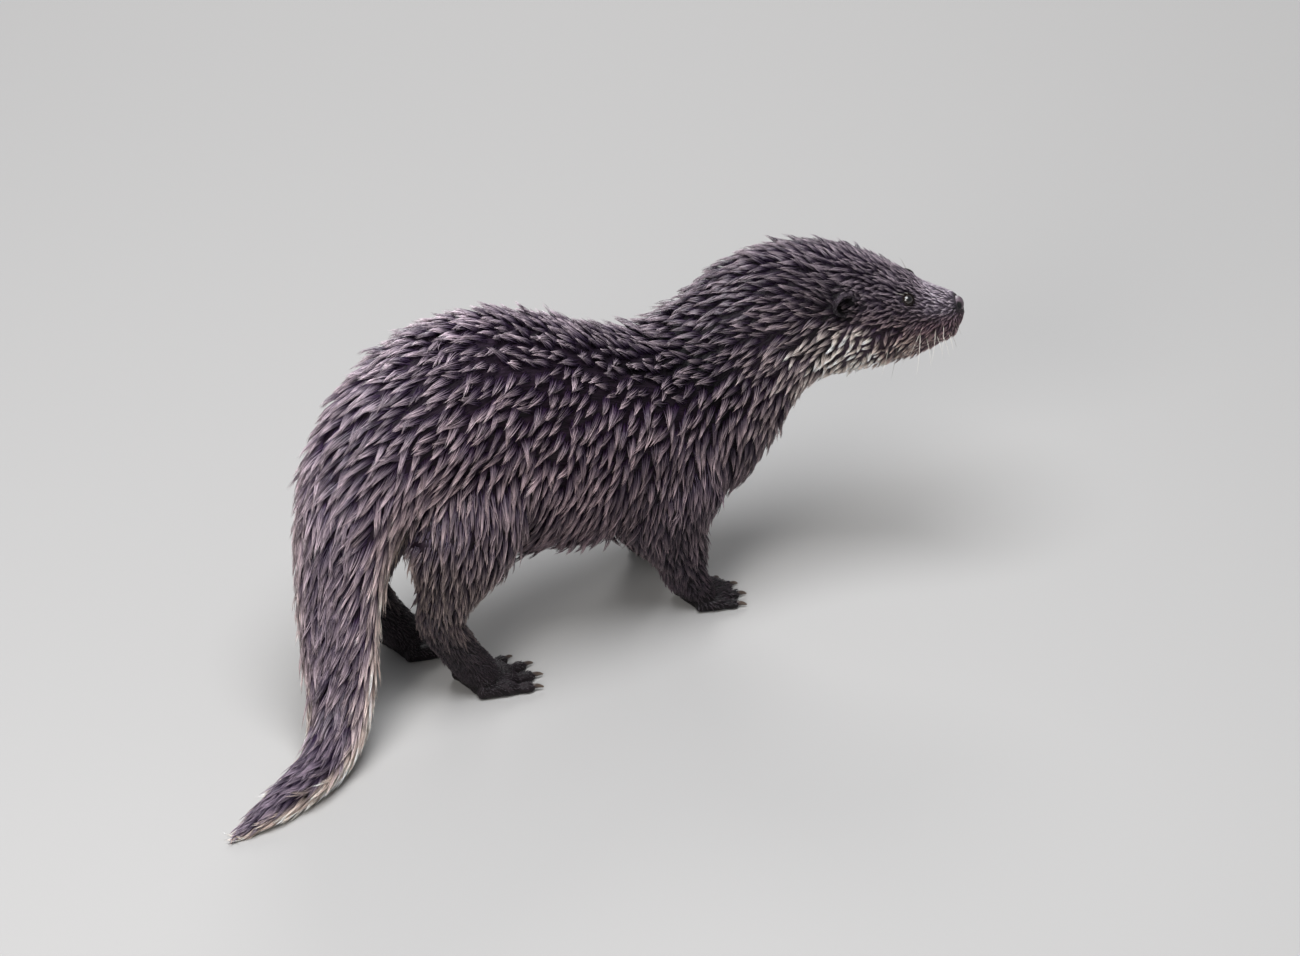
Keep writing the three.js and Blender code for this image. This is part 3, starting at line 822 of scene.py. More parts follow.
# Colours of the tips of the coat, on a screen's scale.
BACK = tone(179, 163, 170)
FLANK = tone(186, 157, 152)
BELLY = tone(150, 127, 134)
CREAM = tone(255, 238, 228)
CHEEK = tone(226, 200, 188)
TAIL_BACK = tone(130, 116, 128)
TAIL_SIDE = tone(226, 204, 192)
UNDER_TAIL = tone(208, 190, 164)
LEG_COLOUR = tone(104, 86, 98)
FOOT = tone(70, 57, 63)
EAR_BACK = tone(92, 80, 90)
# painted shade in the hollow of an ear
SHADED_EAR_HOLLOW = tone(30, 23, 26)
LIPS = tone(184, 148, 154)
LID_RIM = tone(24, 18, 19)
# painted highlight on the top of the bridge of the nose, where light from above falls
BRIDGE_HIGHLIGHT = tone(198, 186, 192)
ROOT_SHADE_SHARE = np.array((0.05, 0.014, 0.11))  # the roots' colour as a share of that of the tips: painted shade, dark and purple as the shade between and under the locks
# the same for pale coat, also painted shade
PALE_ROOT_SHADE_SHARE = 0.07
BRIGHTNESS = (  # of the tips along the body, by section number
    (6, 1.2), (9, 1.2), (11, 0.86), (12, 0.74), (14, 0.64), (16, 0.72), (18, 0.58), (20, 0.62),
)
SKIN_SHADE_SHARE = np.array((0.03, 0.02, 0.036))  # the skin's colour under long fur as a share of that of the tips: near black, painted shade in the gaps between the locks


def blend(one, other, share):
    """Colours from one, where share is 0, to other, where it is 1."""
    return one * (1 - share[:, None]) + np.asarray(other) * share[:, None]


def ear_shade():
    """1 on the fur around and behind the ears, where painted shade darkens the coat."""
    return step(by_ears(-4, -3, 34), 0.1, 0.75)


def markings():
    """Colours of the tips of the coat over the skin, with painted light and shade at the ears, on the bridge
    of the nose and along the mouth.
    """
    x, z = flesh.head[:, 0], flesh.head[:, 2]
    tip = np.tile(BACK, (len(flesh.points), 1))
    tip = blend(tip, FLANK, 0.8 * step(-rise, -0.8, 0.1) * on_body)
    tip = blend(tip, BELLY, step(-rise, 0.4, 0.9) * on_body)
    tail = step(-flesh.at, -6.5, -4) * on_body
    tip = blend(tip, TAIL_BACK, tail)
    tip = blend(tip, TAIL_SIDE, tail * step(-rise, -0.65, -0.15))
    tip = blend(tip, UNDER_TAIL, on_body * bump(flesh.at, 6.9, 0.9) * step(-rise, 0.1, 0.7))
    chest = 0.3 * step(flesh.at, 13.6, 15) * step(-rise, 0.5, 0.9)
    throat = step(flesh.at, 14.9, 16.4) * step(-rise, -0.26, 0.04) * step(-z, -14, -5) * (1 - step(x, 40, 64))
    cheek = step(x, 34, 58) * step(-z, 2, 11) * (1 - 0.6 * step(x, 86, 98))
    tip = blend(tip, CREAM, chest * on_body)
    tip = blend(tip, LIPS, 0.9 * step(x, 83, 96) * step(-z, -8, 2) * on_body)
    tip = blend(tip, LEG_COLOUR, on_leg * step(flesh.at, 0.2, 2.0))
    tip = blend(tip, FOOT, on_leg * step(flesh.at, 3.4, 4.6))
    hind = (flesh.region == LEG) | (flesh.region == LEG + 1)
    tip = blend(tip, UNDER_TAIL, (0.3 + 0.5 * hind) * on_leg * bump(flesh.at, 2.7, 0.7))
    rim = 0.35 + 0.65 * step(z, EAR["at"][2] - 1, EAR["at"][2] + 8)  # painted light and shade: the ear's upper part is kept light where light falls on it, its lower half painted dark as shade
    tip = blend(tip, EAR_BACK, 1.0 * on_ear)
    tip = tip * np.where(on_body, by_section(*BRIGHTNESS), 1)[:, None]
    # painted shade on the coat around and behind the ears
    tip = tip * np.where(on_ear, rim, 1 - 0.5 * ear_shade() * on_body)[:, None]
    # painted highlight: the top of the bridge of the nose made pale
    tip = blend(tip, BRIDGE_HIGHLIGHT, 0.8 * step(x, 90, 104) * step(z, 5, 11) * on_body)
    tip = blend(tip, CHEEK, 0.9 * cheek * on_body)
    tip = blend(tip, CREAM, throat * on_body)
    # painted shade: the tips darkened along the line of the mouth and the groove up to the nose
    return spread(tip, flesh.edges, 8) * (1 - 0.72 * mouth_crease())[:, None]


def skin_colours():
    """Colours of the skin: dark as the roots under long fur, painted shade in the gaps between the locks, and
    nearly that of the tips under short fur. Its hollows are painted darker as shade.
    """
    short = 1 - step(flesh.width, 1.8, 3.6)
    short = np.where(on_leg, step(flesh.at, 4.4, 5.8), short) * ~on_ear
    # painted shade: under long fur the skin is near black where it shows between the locks
    colour = blend(flesh.tip_colour * SKIN_SHADE_SHARE, flesh.tip_colour * 0.17, short)
    colour = np.where(on_ear[:, None], 0.4 * flesh.tip_colour, colour)
    inner = on_ear & (np.mod(flesh.at, RIGHT_EAR) > EAR_DARK)
    # painted shade in the hollow of each ear
    colour = np.where(inner[:, None], SHADED_EAR_HOLLOW, colour)
    colour = blend(colour, LID_RIM, step(8.0 - eye_distance(flesh.points), 0, 0.9))
    x, _, z = flesh.head.T
    wing = bump(x, 121.5, 2.2) * bump(z, 7.5, 3.2) * step(np.abs(flesh.head[:, 1]), 5, 7.5)
    # painted shade in the slit behind each nostril
    colour = blend(colour, NOSTRIL_SHADE, 0.9 * wing)  # the slit that runs back from each nostril
    # painted shade: the skin darker where it is hollow, in creases and recesses
    return colour * (1 - 0.75 * step(hollow, 0.03, 0.3))[:, None]


def drift(rounds, seed):
    """Smooth random values over the skin, with a spread of 1."""
    values = np.random.default_rng(seed).normal(0, 1, (len(flesh.points), 1))
    values = spread(values, flesh.edges, rounds)[:, 0]
    return values / values.std()


flesh.swing = drift(70, 1)
flesh.stand = drift(40, 2)
flesh.shade = drift(25, 3)


def unevenness():
    """How much locks differ in brightness: most on the lips and cheeks, least on the bridge of the nose."""
    x, z = flesh.head[:, 0], flesh.head[:, 2]
    lips = on_body * step(x, 40, 70) * step(-z, -6, 2)
    bridge = on_body * step(x, 84, 96) * step(z, 0, 8)
    return 0.3 + 0.36 * lips - 0.16 * bridge


ROWS_PER_SECTION = 3.6


def painted_shade_rows():
    """Rows of darker and brighter locks down the flank: painted shade in the partings of the wet coat."""
    flank = stretch((9, 10), (13.4, 14.4)) * bump(rise, -0.1, 0.5)
    return flank * (0.4 * np.sin(2 * math.pi * ROWS_PER_SECTION * flesh.at + 1.2 * flesh.swing) - 0.1)


flesh.uneven = unevenness()
flesh.rows = painted_shade_rows()
flesh.tip_colour = markings()
flesh.pale = step(flesh.tip_colour[:, 1], 0.35, 0.75)
# the dark roots are painted shade between and under the locks
root_shade_share = blend(np.tile(ROOT_SHADE_SHARE, (len(flesh.pale), 1)), PALE_ROOT_SHADE_SHARE, flesh.pale)
flesh.root_colour = flesh.tip_colour * root_shade_share


# ---------- The coat ----------


def unwrap():
    """The skin laid out flat: the body above, the legs side by side at the bottom, the ears between them."""
    body = np.stack([0.02 + 0.96 * flesh.at / (len(SPINE) - 1), 0.36 + 0.62 * flesh.turn], 1)
    strip = (flesh.region - LEG) * 0.245
    legs = np.stack([0.01 + strip + 0.22 * flesh.at / 6, 0.02 + 0.26 * flesh.turn], 1)
    ears = np.stack([0.02 + 0.2 * flesh.at / 3, 0.29 + 0.05 * flesh.turn], 1)
    return np.where(on_leg[:, None], legs, np.where(on_ear[:, None], ears, body))


flesh.flat = unwrap()


TRIES = 13  # random points tried for each lock, so that no hole stays between the locks
CELLS = (8.0, 3.0)  # of the grids in which neighbours are looked up, for wide gaps and for narrow ones
CELL_SPARE = 1.05


def is_clear(grid, cell, place, square):
    """Whether no kept point lies nearer to a place than the gap, whose square is given."""
    px, py, pz = place
    for around in itertools.product(*((k - 1, k, k + 1) for k in cell)):
        for qx, qy, qz in grid.get(around, ()):
            if (qx - px) ** 2 + (qy - py) ** 2 + (qz - pz) ** 2 < square:
                return False
    return True


def thinned_out(places, room):
    """Numbers of the places that are kept: each at least its room away from the others of its grid."""
    kept = []
    narrow = room <= CELLS[1] / CELL_SPARE
    for size, group in zip(CELLS, (np.nonzero(~narrow)[0], np.nonzero(narrow)[0])):
        grid = {}
        cells = map(tuple, np.floor(places[group] / size).astype(int).tolist())
        squares = (room[group] ** 2).tolist()
        for i, cell, place, square in zip(group.tolist(), cells, places[group].tolist(), squares):
            if is_clear(grid, cell, place, square):
                grid.setdefault(cell, []).append(place)
                kept.append(i)
    return np.array(kept)


def scatter(gap, wanted):
    """Points of the skin spread evenly, each at least its gap from the others: the nearest vertex of each."""
    corners = read_triangles(skin.data)
    a, b, c = (flesh.points[corners[:, k]] for k in range(3))
    area = np.linalg.norm(np.cross(b - a, c - a), axis=1) / 2
    room = gap[corners].mean(1)
    share = np.where(wanted[corners].all(1), area / room**2, 0)
    count = int(share.sum() * TRIES)
    chosen = rng.choice(len(corners), count, p=share / share.sum())
    r1, r2 = np.sqrt(rng.random(count)), rng.random(count)
    weights = np.stack([1 - r1, r1 * (1 - r2), r1 * r2], 1)
    places = (flesh.points[corners[chosen]] * weights[..., None]).sum(1)
    vertex = corners[chosen][np.arange(count), weights.argmax(1)]
    kept = thinned_out(places, room[chosen])
    return places[kept], vertex[kept]


PATCH = 0.003  # size of a lock on the unwrapped skin
LONG_STRAND = np.array((0, 0.4, 0.76, 1.0))  # where the rings of a strand are, as shares of its length
SHORT_STRAND = np.array((0, 0.55, 1.0))
STRAND_CORNERS = np.array(((0, 1.0), (0.9, -0.5), (-0.9, -0.5)))
GOLDEN_TURN = math.pi * (3 - math.sqrt(5))


surface = BVHTree.FromPolygons(flesh.points.tolist(), read_triangles(skin.data).tolist())


def fall_away(places, normal, lie, length):
    """How far the skin falls away from a plane that touches it, at a lock's length along the lie."""
    ends = places + lie * length[:, None]
    fall = np.zeros(len(places))
    for i, (place, end, up) in enumerate(zip(places, ends, normal)):
        hit = surface.find_nearest(Vector(end), 40.0)[0]
        if hit is not None:
            fall[i] = np.dot(np.array(hit) - place, up)
    return np.clip(fall, -0.5 * length, 0.35 * length)


def tapered(middle, across, up, reach, corners):
    """Points of closed tubes that end in a point: along middle (..., ring, xyz), reach (..., ring) thick."""
    aside = (corners[:, 0] * reach[..., :-1, None])[..., None] * across
    above = (corners[:, 1] * reach[..., :-1, None])[..., None] * up
    rings = middle[..., :-1, None, :] + aside + above
    return np.concatenate([rings.reshape(*middle.shape[:-2], -1, 3), middle[..., -1:, :]], -2)


def tapered_faces(rings, corners):
    """The triangles of one such tube: its sides, its point and its flat root."""
    faces = []
    for k in range(rings - 2):
        for c in range(corners):
            one, two = corners * k + c, corners * k + (c + 1) % corners
            faces += [(one, one + corners, two), (two, one + corners, two + corners)]
    last, point = corners * (rings - 2), corners * (rings - 1)
    faces += [(last + c, point, last + (c + 1) % corners) for c in range(corners)]
    faces += [(0, c, c + 1) for c in range(1, corners - 1)]
    return np.array(faces)


def copies(points, faces):
    """Flat arrays of points and triangles for many tubes (..., point, xyz) with the same faces."""
    per = points.shape[-2]
    first = np.arange(points.size // (3 * per))[:, None, None] * per
    return points.reshape(-1, 3), (first + faces[None]).reshape(-1, 3)


def strand_layout(count, strands):
    """Where strands start on the round base of their lock: aside and ahead, as shares of its half width."""
    number = np.arange(strands) + 0.5
    away = (number / strands) ** 0.45
    aside = away * np.sin(number * GOLDEN_TURN) + rng.normal(0, 0.09, (count, strands))
    ahead = away * np.cos(number * GOLDEN_TURN) + rng.normal(0, 0.09, (count, strands))
    return aside, ahead


STRAYS = 0.1  # the share of strands that leave their lock
LOOSE = (0.13, 0.02)  # how far strays and other strands end from their tip, as shares of the lock's width
LOCK_BEND = 0.11  # how far aside a lock bends, as a share of its length


def strand_curves(length, width, height, aside, ahead, steps):
    """Points of each strand along, across and above its lock. Strands run together in up to three tips."""
    count, strands = aside.shape
    long, wide, high = length[:, None], width[:, None], height[:, None]
    each = (count, strands)
    group = np.clip(np.round(aside * 1.3 + rng.normal(0, 0.3, each)), -1, 1)
    tips = rng.uniform(0.74, 0.94, (count, 3))
    tips[:, 1] = rng.uniform(0.98, 1.1, count)
    reach = np.take_along_axis(tips, (group + 1).astype(int), 1) - 0.2 * rng.random(each) ** 1.5
    stray = rng.random(each) < STRAYS
    reach = reach * np.where(stray, rng.uniform(0.65, 0.9, each), 1)
    loose = np.where(stray, *LOOSE) * rng.normal(0, 1, each)
    bend = rng.normal(0, LOCK_BEND, count)[:, None] * long
    start = (0.5 * wide * ahead, 0.5 * wide * aside, -0.6 + 0 * aside)
    middle = (
        0.44 * long + 0.26 * wide * ahead,
        0.34 * wide * aside * rng.uniform(0.8, 1.2, each) + 0.2 * bend,
        high * (0.66 + 0.09 * rng.normal(0, 1, each)) + wide * (0.12 * (1 - aside**2) - 0.12 * ahead),
    )
    end = (
        long * reach,
        wide * (0.12 * group + loose) + bend,
        high * reach * (1 + 0.06 * rng.normal(0, 1, each)),
    )
    u = steps
    return [
        ((1 - u) ** 2) * s[..., None] + (2 * u * (1 - u)) * m[..., None] + (u**2) * e[..., None]
        for s, m, e in zip(start, middle, end)
    ]


LONG_ONES = (0.35, 0.6)  # the share of the hanging locks that are longer, and by how much
TALL_ONES = (0.09, 1.5)  # the share of all the locks that stand taller, and how many times
DROP = 2.8  # how strongly the locks of the belly and of the tail's root hang down
STRAND_WIDTH = 0.22  # half a strand's width at its root, for a lock 1 wide of one strand
CREST_HIGHLIGHT = 1.48  # painted highlight: brightness of the strands along the middle of a lock
CREST_SIDE_SHADE = 0.88  # painted shade: how much darker those at its sides are
FLOOR_GAP = 0.3


def lock_sizes(vertex):
    """Length, width and height of each lock, each a little different."""
    count = len(vertex)
    length = flesh.length[vertex] * rng.uniform(0.76, 1.2, count)
    length *= 1 + LONG_ONES[1] * flesh.hanging[vertex] * (rng.random(count) < LONG_ONES[0])
    width = flesh.width[vertex] * rng.uniform(0.78, 1.2, count)
    lift = np.clip(1 + 0.17 * flesh.stand[vertex] + rng.normal(0, 0.13, count), 0.5, 1.3)
    lift *= np.where(rng.random(count) < TALL_ONES[0], TALL_ONES[1], 1)
    return length, width, flesh.height[vertex] * lift


def lock_frames(vertex):
    """The way each lock lies, the way across it and the way up from it."""
    free = 0.4 + 0.6 * step(flesh.at[vertex], 5.5, 7.5)  # the locks of the tail keep to its length
    wild = 0.16 + 0.13 * flesh.apart[vertex]
    swing = (free * (0.24 * flesh.swing[vertex] + wild * rng.normal(0, 1, len(vertex))))[:, None]
    normal, lie = flesh.normals[vertex], flesh.lie[vertex]
    lie = unit(lie * np.cos(swing) + unit(np.cross(normal, lie)) * np.sin(swing))
    lie = unit(lie + DROP * flesh.hanging[vertex][:, None] * (0, 0, -1))
    normal = unit(normal - (normal * lie).sum(1)[:, None] * lie)
    return lie, unit(np.cross(normal, lie)), normal


def build_locks(name, places, vertex, strands, steps):
    """One piece of coat: wet locks, each of thin tapered strands that start apart and run together."""
    count = len(places)
    length, width, height = lock_sizes(vertex)
    lie, across, normal = lock_frames(vertex)
    fall = fall_away(places, normal, lie, length) * (1 - 0.85 * flesh.hanging[vertex])

    aside, ahead = strand_layout(count, strands)
    along, beside, above = strand_curves(length, width, height, aside, ahead, steps)
    above = above + fall[:, None, None] * (along / length[:, None, None]) ** 2
    along, beside, above = along[..., None], beside[..., None], above[..., None]
    lie, across, normal = (axis[:, None, None] for axis in (lie, across, normal))
    middle = places[:, None, None] + along * lie + beside * across + above * normal
    thick = (STRAND_WIDTH * width / math.sqrt(strands))[:, None] * rng.uniform(0.7, 1.3, (count, strands))
    reach = thick[..., None] * (1 - 0.74 * steps**1.3)
    points = tapered(middle, across[..., None, :], normal[..., None, :], reach, STRAND_CORNERS)
    points[..., 2] = np.maximum(points[..., 2], FLOOR_GAP)

    at = np.append(np.repeat(steps[:-1], len(STRAND_CORNERS)), 1.0)
    colour = strand_colours(vertex, aside, at)
    flat = strand_patches(vertex, strands, aside, at)
    points, faces = copies(points, tapered_faces(len(steps), len(STRAND_CORNERS)))
    return tinted_object(name, points, faces, colour.reshape(-1, 3), flat.reshape(-1, 2))


def strand_colours(vertex, aside, at):
    """Colours up each strand, from the root, dark with painted shade, to the tip. Locks and strands differ in
    brightness, and each lock has a painted highlight along its middle and painted shade at its sides.
    """
    count, strands = aside.shape
    pale = flesh.pale[vertex][:, None]
    lock = flesh.uneven[vertex] * rng.normal(0, 1, count)
    # flesh.rows is painted shade in rows down the flank
    shade = np.exp(0.16 * flesh.shade[vertex] + flesh.rows[vertex] + lock)[:, None]
    strand = (0.34 - 0.2 * pale) * rng.normal(0, 1, (count, strands))
    # painted highlight along the middle of each lock and painted shade at its sides
    shade = shade * (CREST_HIGHLIGHT - CREST_SIDE_SHADE * (1 - 0.4 * pale) * aside**2) * np.exp(strand)
    shade = np.clip(shade, 0.15, 2.4)
    root = flesh.root_colour[vertex][:, None, None]
    tip = flesh.tip_colour[vertex][:, None, None] * shade[..., None, None]
    climb = at[:, None] ** (1.8 - 1.15 * pale[:, :, None, None])
    return np.clip(root + (tip - root) * climb, 0, 0.95)


def strand_patches(vertex, strands, aside, at):
    """Places of the strands on the unwrapped skin: each lock is a small patch at its root."""
    corner = np.append(np.tile((0, 0.3, -0.3), len(at) // 3), 0) / strands
    across, along = np.broadcast_arrays(corner + 0.5 * aside[..., None], at - 0.5)
    return flesh.flat[vertex][:, None, None] + PATCH * np.stack([across, along], -1)


def tinted_object(name, points, triangles, colour, flat=None):
    """An object with a colour at each point and, where flat is given, the map OFBake."""
    mesh = bpy.data.meshes.new(name)
    mesh.vertices.add(len(points))
    mesh.vertices.foreach_set("co", ((points + SHIFT) * MM).astype(np.float32).ravel())
    mesh.loops.add(triangles.size)
    mesh.loops.foreach_set("vertex_index", triangles.astype(np.int32).ravel())
    mesh.polygons.add(len(triangles))
    mesh.polygons.foreach_set("loop_start", np.arange(0, triangles.size, 3, dtype=np.int32))
    mesh.polygons.foreach_set("use_smooth", np.ones(len(triangles), bool))
    mesh.update(calc_edges=True)
    paint(mesh, colour)
    if flat is not None:
        layer = mesh.uv_layers.new(name="OFBake")
        layer.data.foreach_set("uv", flat[triangles.ravel()].astype(np.float32).ravel())
    made = bpy.data.objects.new(name, mesh)
    bpy.context.scene.collection.objects.link(made)
    return made


def paint(mesh, colour):
    tint = mesh.color_attributes.new("tint", "FLOAT_COLOR", "POINT")
    rgba = np.concatenate([colour, np.ones((len(colour), 1))], 1).astype(np.float32)
    tint.data.foreach_set("color", rgba.ravel())


LOCK_GAP = 0.78  # between the roots of neighbouring locks, as a share of their width
APART_GAP = 0.26  # how much wider it is where the locks stand apart
BARE_EYE = 7.4  # no locks are rooted this near a point just ahead of the middle of an eye
BARE_AHEAD = 1.1  # how far ahead that point is
BARE_NOSE = 1.22  # nor this near the middle of the nose pad, as a share of its size
FOOT_BARE = 6  # a foot has no locks up to this height, and only on its top up to the next
ANKLE = 15
SMALL_LOCK = 3.6  # narrower locks go into the pieces of the feet and the face
BODY_COAT = (  # pieces along the body, the section where each begins and the strands in its locks
    ("coat_tail", 0, 11),
    ("coat_rump", 6.3, 20),
    ("coat_loins", 8.5, 18),
    ("coat_chest", 10.3, 16),
    ("coat_shoulders", 12.2, 15),
    ("coat_neck", 14.2, 17),
    ("coat_throat", 16, 10),
)


def furred():
    """Where locks grow: not at the eyes, on the nose, in the ears and low on the feet."""
    from_nose = np.linalg.norm((flesh.head - NOSE_PAD["at"]) / NOSE_PAD["size"], axis=1)
    grown = eye_distance(flesh.points - HEAD_TURN @ (BARE_AHEAD, 0, 0)) > BARE_EYE
    grown &= from_nose > BARE_NOSE
    grown &= ~(on_ear & (np.mod(flesh.at, RIGHT_EAR) > EAR_FUR))
    height = flesh.points[:, 2]
    top_of_foot = (height > FOOT_BARE) & (flesh.normals[:, 2] > 0.15)
    return grown & (~on_leg | (height > ANKLE) | top_of_foot)


def make_coat():
    """All the pieces of the coat."""
    places, vertex = scatter(LOCK_GAP * flesh.width * (1 + APART_GAP * flesh.apart), furred())
    at, region = flesh.at[vertex], flesh.region[vertex]
    leg, ear = on_leg[vertex], on_ear[vertex]
    big = flesh.width[vertex] > SMALL_LOCK
    body = big & ~leg & ~ear
    ends = [start for _, start, _ in BODY_COAT[1:]] + [math.inf]
    groups = [
        (name, body & (at >= start) & (at < end), strands, LONG_STRAND)
        for (name, start, strands), end in zip(BODY_COAT, ends)
    ]
    groups += [
        ("coat_hind_legs", big & leg & (region <= LEG + 1), 7, LONG_STRAND),
        ("coat_front_legs", big & leg & (region > LEG + 1), 6, LONG_STRAND),
        ("coat_feet", ~big & (leg | (at < 6)), 3, SHORT_STRAND),
        ("coat_face", ~big & ~leg & (at >= 6), 7, SHORT_STRAND),
    ]
    return [
        build_locks(name, places[chosen], vertex[chosen], strands, steps)
        for name, chosen, strands, steps in groups
    ]


# ---------- Eyes, nose, claws and whiskers ----------

PUPIL = tone(5, 4, 4)
IRIS = tone(30, 20, 15)
WHITE = tone(46, 34, 30)
NOSE = tone(96, 82, 90)
# painted shade in the nostrils and the slits that run back from them
NOSTRIL_SHADE = tone(6, 5, 6)
CLAW_ROOT = tone(58, 46, 42)
CLAW_TIP = tone(120, 104, 90)
WHISKER_ROOT = tone(120, 106, 96)
WHISKER = tone(240, 234, 222)


def sphere(rings, around):
    """Directions of a sphere with its pole along x, and its triangles."""
    tilt = np.linspace(0, math.pi, rings)[1:-1, None]
    turn = np.linspace(0, 2 * math.pi, around, endpoint=False)[None]
    axes = np.cos(tilt), np.sin(tilt) * np.cos(turn), np.sin(tilt) * np.sin(turn)
    body = np.stack(np.broadcast_arrays(*axes), -1)
    points = np.vstack([body.reshape(-1, 3), (1.0, 0, 0), (-1.0, 0, 0)])
    faces = []
    count = rings - 2
    for i in range(around):
        j = (i + 1) % around
        for ring in range(count - 1):
            a, b = ring * around + i, ring * around + j
            faces += [(a, a + around, b), (b, a + around, b + around)]
        last = (count - 1) * around
        faces += [(count * around, i, j), (count * around + 1, last + j, last + i)]
    return points, np.array(faces)


SPOKES = 23  # lighter rays in the iris


def make_eye(name, side):
    """A glossy ball with a bulging cornea, a dark brown iris and a black pupil."""
    directions, faces = sphere(40, 56)
    axis, _, up = eye_frame(side)
    angle = np.arccos(np.clip(directions[:, 0], -1, 1))
    bulge = EYE_RADIUS * (1 + 0.05 * bump(angle, 0, 0.55))
    turned = np.stack([axis, unit(np.cross(up, axis)), up])
    points = from_head(EYE * (1, side, 1) + (directions * bulge[:, None]) @ turned)
    spoke = np.arctan2(directions[:, 2], directions[:, 1])
    ripple = np.sin(SPOKES * spoke + 2 * np.sin(5 * spoke))
    iris = np.asarray(IRIS) * (1 + 0.3 * ripple)[:, None]
    colour = blend(np.tile(PUPIL, (len(points), 1)), iris, step(angle, 0.3, 0.4))
    colour = blend(colour, WHITE, step(angle, 0.86, 0.98))
    return tinted_object(name, points, faces, colour)


def make_nose():
    """The nose pad, with a comma-shaped nostril on each side and a groove below between them."""
    directions, faces = sphere(72, 96)
    points = directions * NOSE_PAD["size"] + NOSE_PAD["at"]
    y, z = np.abs(points[:, 1]), points[:, 2]
    front = step(directions[:, 0], -0.3, 0.2)
    pit = bump(y, NOSTRIL["y"], NOSTRIL["wide"]) * bump(z, NOSTRIL["z"] - 1.2, NOSTRIL["high"])
    slit_height = NOSTRIL["z"] - 0.6 + 0.35 * np.maximum(y - NOSTRIL["y"], 0)
    slit = bump(z, slit_height, 0.8) * step(y, NOSTRIL["y"] - 1, NOSTRIL["y"]) * step(-y, -9.9, -8.4)
    depth = NOSTRIL["deep"] * np.maximum(pit, 0.5 * slit) * front
    groove = 0.9 * bump(points[:, 1], 0, 0.6) * step(-z, -5, -1.5) * front
    points = points - (depth + groove)[:, None] * unit(directions * (1, 0.25, 0.25))
    # painted shade: the nose black where its nostrils are deep
    colour = blend(np.tile(NOSE, (len(points), 1)), NOSTRIL_SHADE, step(depth, 0.4, 1.6))
    return tinted_object("nose", from_head(points), faces, colour)


CLAW_COURSE = (  # along a claw as a share of its length, drop and half its width
    (-0.4, 0.3, 1.9), (0, 0.1, 1.9), (0.3, 0.25, 1.7), (0.6, 0.8, 1.3), (0.85, 1.6, 0.8), (1, 2.2, 0.2),
)


def make_claws():
    """Short curved claws at the ends of the toes."""
    turn = np.linspace(0, 2 * math.pi, 12, endpoint=False)
    corners = np.stack([np.sin(turn), 1.2 * np.cos(turn)], 1)
    course = np.array(CLAW_COURSE)
    course = through(course, np.linspace(0, len(course) - 1, 16))
    middles, sides = [], []
    for leg in LEGS:
        tip = leg["foot"]["tip"]
        for toe in toes_of(leg):
            start = TOE_END * tip + 0.3
            run = (start + course[:, :1] * leg["foot"]["claw"]) * toe["along"]
            flat = toe["tip"] * (1, 1, 0) + run + course[:, 1:2] * (0, 0, -1) + (0, 0, tip - 1)
            middles.append(leg_frame(leg, flat))
            sides.append(np.cross((0, 0, 1), toe["along"] * (1, leg["out"], 1)))
    middle = np.array(middles)
    across = np.array(sides)[:, None, None]
    up = np.array((0, 0, 1.0))
    reach = np.tile(course[:, 2], (len(middle), 1))
    points = tapered(middle, across, up, reach, corners)
    points, faces = copies(points, tapered_faces(len(course), len(corners)))
    along = np.linspace(0, 1, len(course))
    share = np.tile(np.append(np.repeat(along[:-1], len(corners)), 1), len(middle))
    colour = blend(np.tile(CLAW_ROOT, (len(points), 1)), CLAW_TIP, share**1.5)
    return tinted_object("claws", points, faces, colour)


def whisker_roots():
    """Roots, directions and lengths of the whiskers of the lips, brows and cheeks, in the head's frame."""
    roots = []
    for side in (1, -1):
        for row in range(3):
            for i in range(4):
                lip = (119 - 8 * i - 2 * row, side, -3 - 5 * row)
                roots.append((lip, (0.66 - 0.2 * i, 0.6 * side, -0.8 - 0.12 * row), 14 + 6 * i))
        for i in range(2):
            brow = (83 - 5 * i, side, 27.0)
            roots.append((brow, (-0.35, 0.6 * side, 0.5), 10 + 3 * i))
            cheek = (72 - 9 * i, side, -17.0 - 3 * i)
            roots.append((cheek, (-0.1, 0.35 * side, -0.95), 26 + 5 * i))
    return roots


WHISKER_SIZE = 0.27  # half the width at the root of a whisker 40 long
WHISKER_SIDES = 5
PALE_WHISKERS = 0.65  # the share of them that are pale


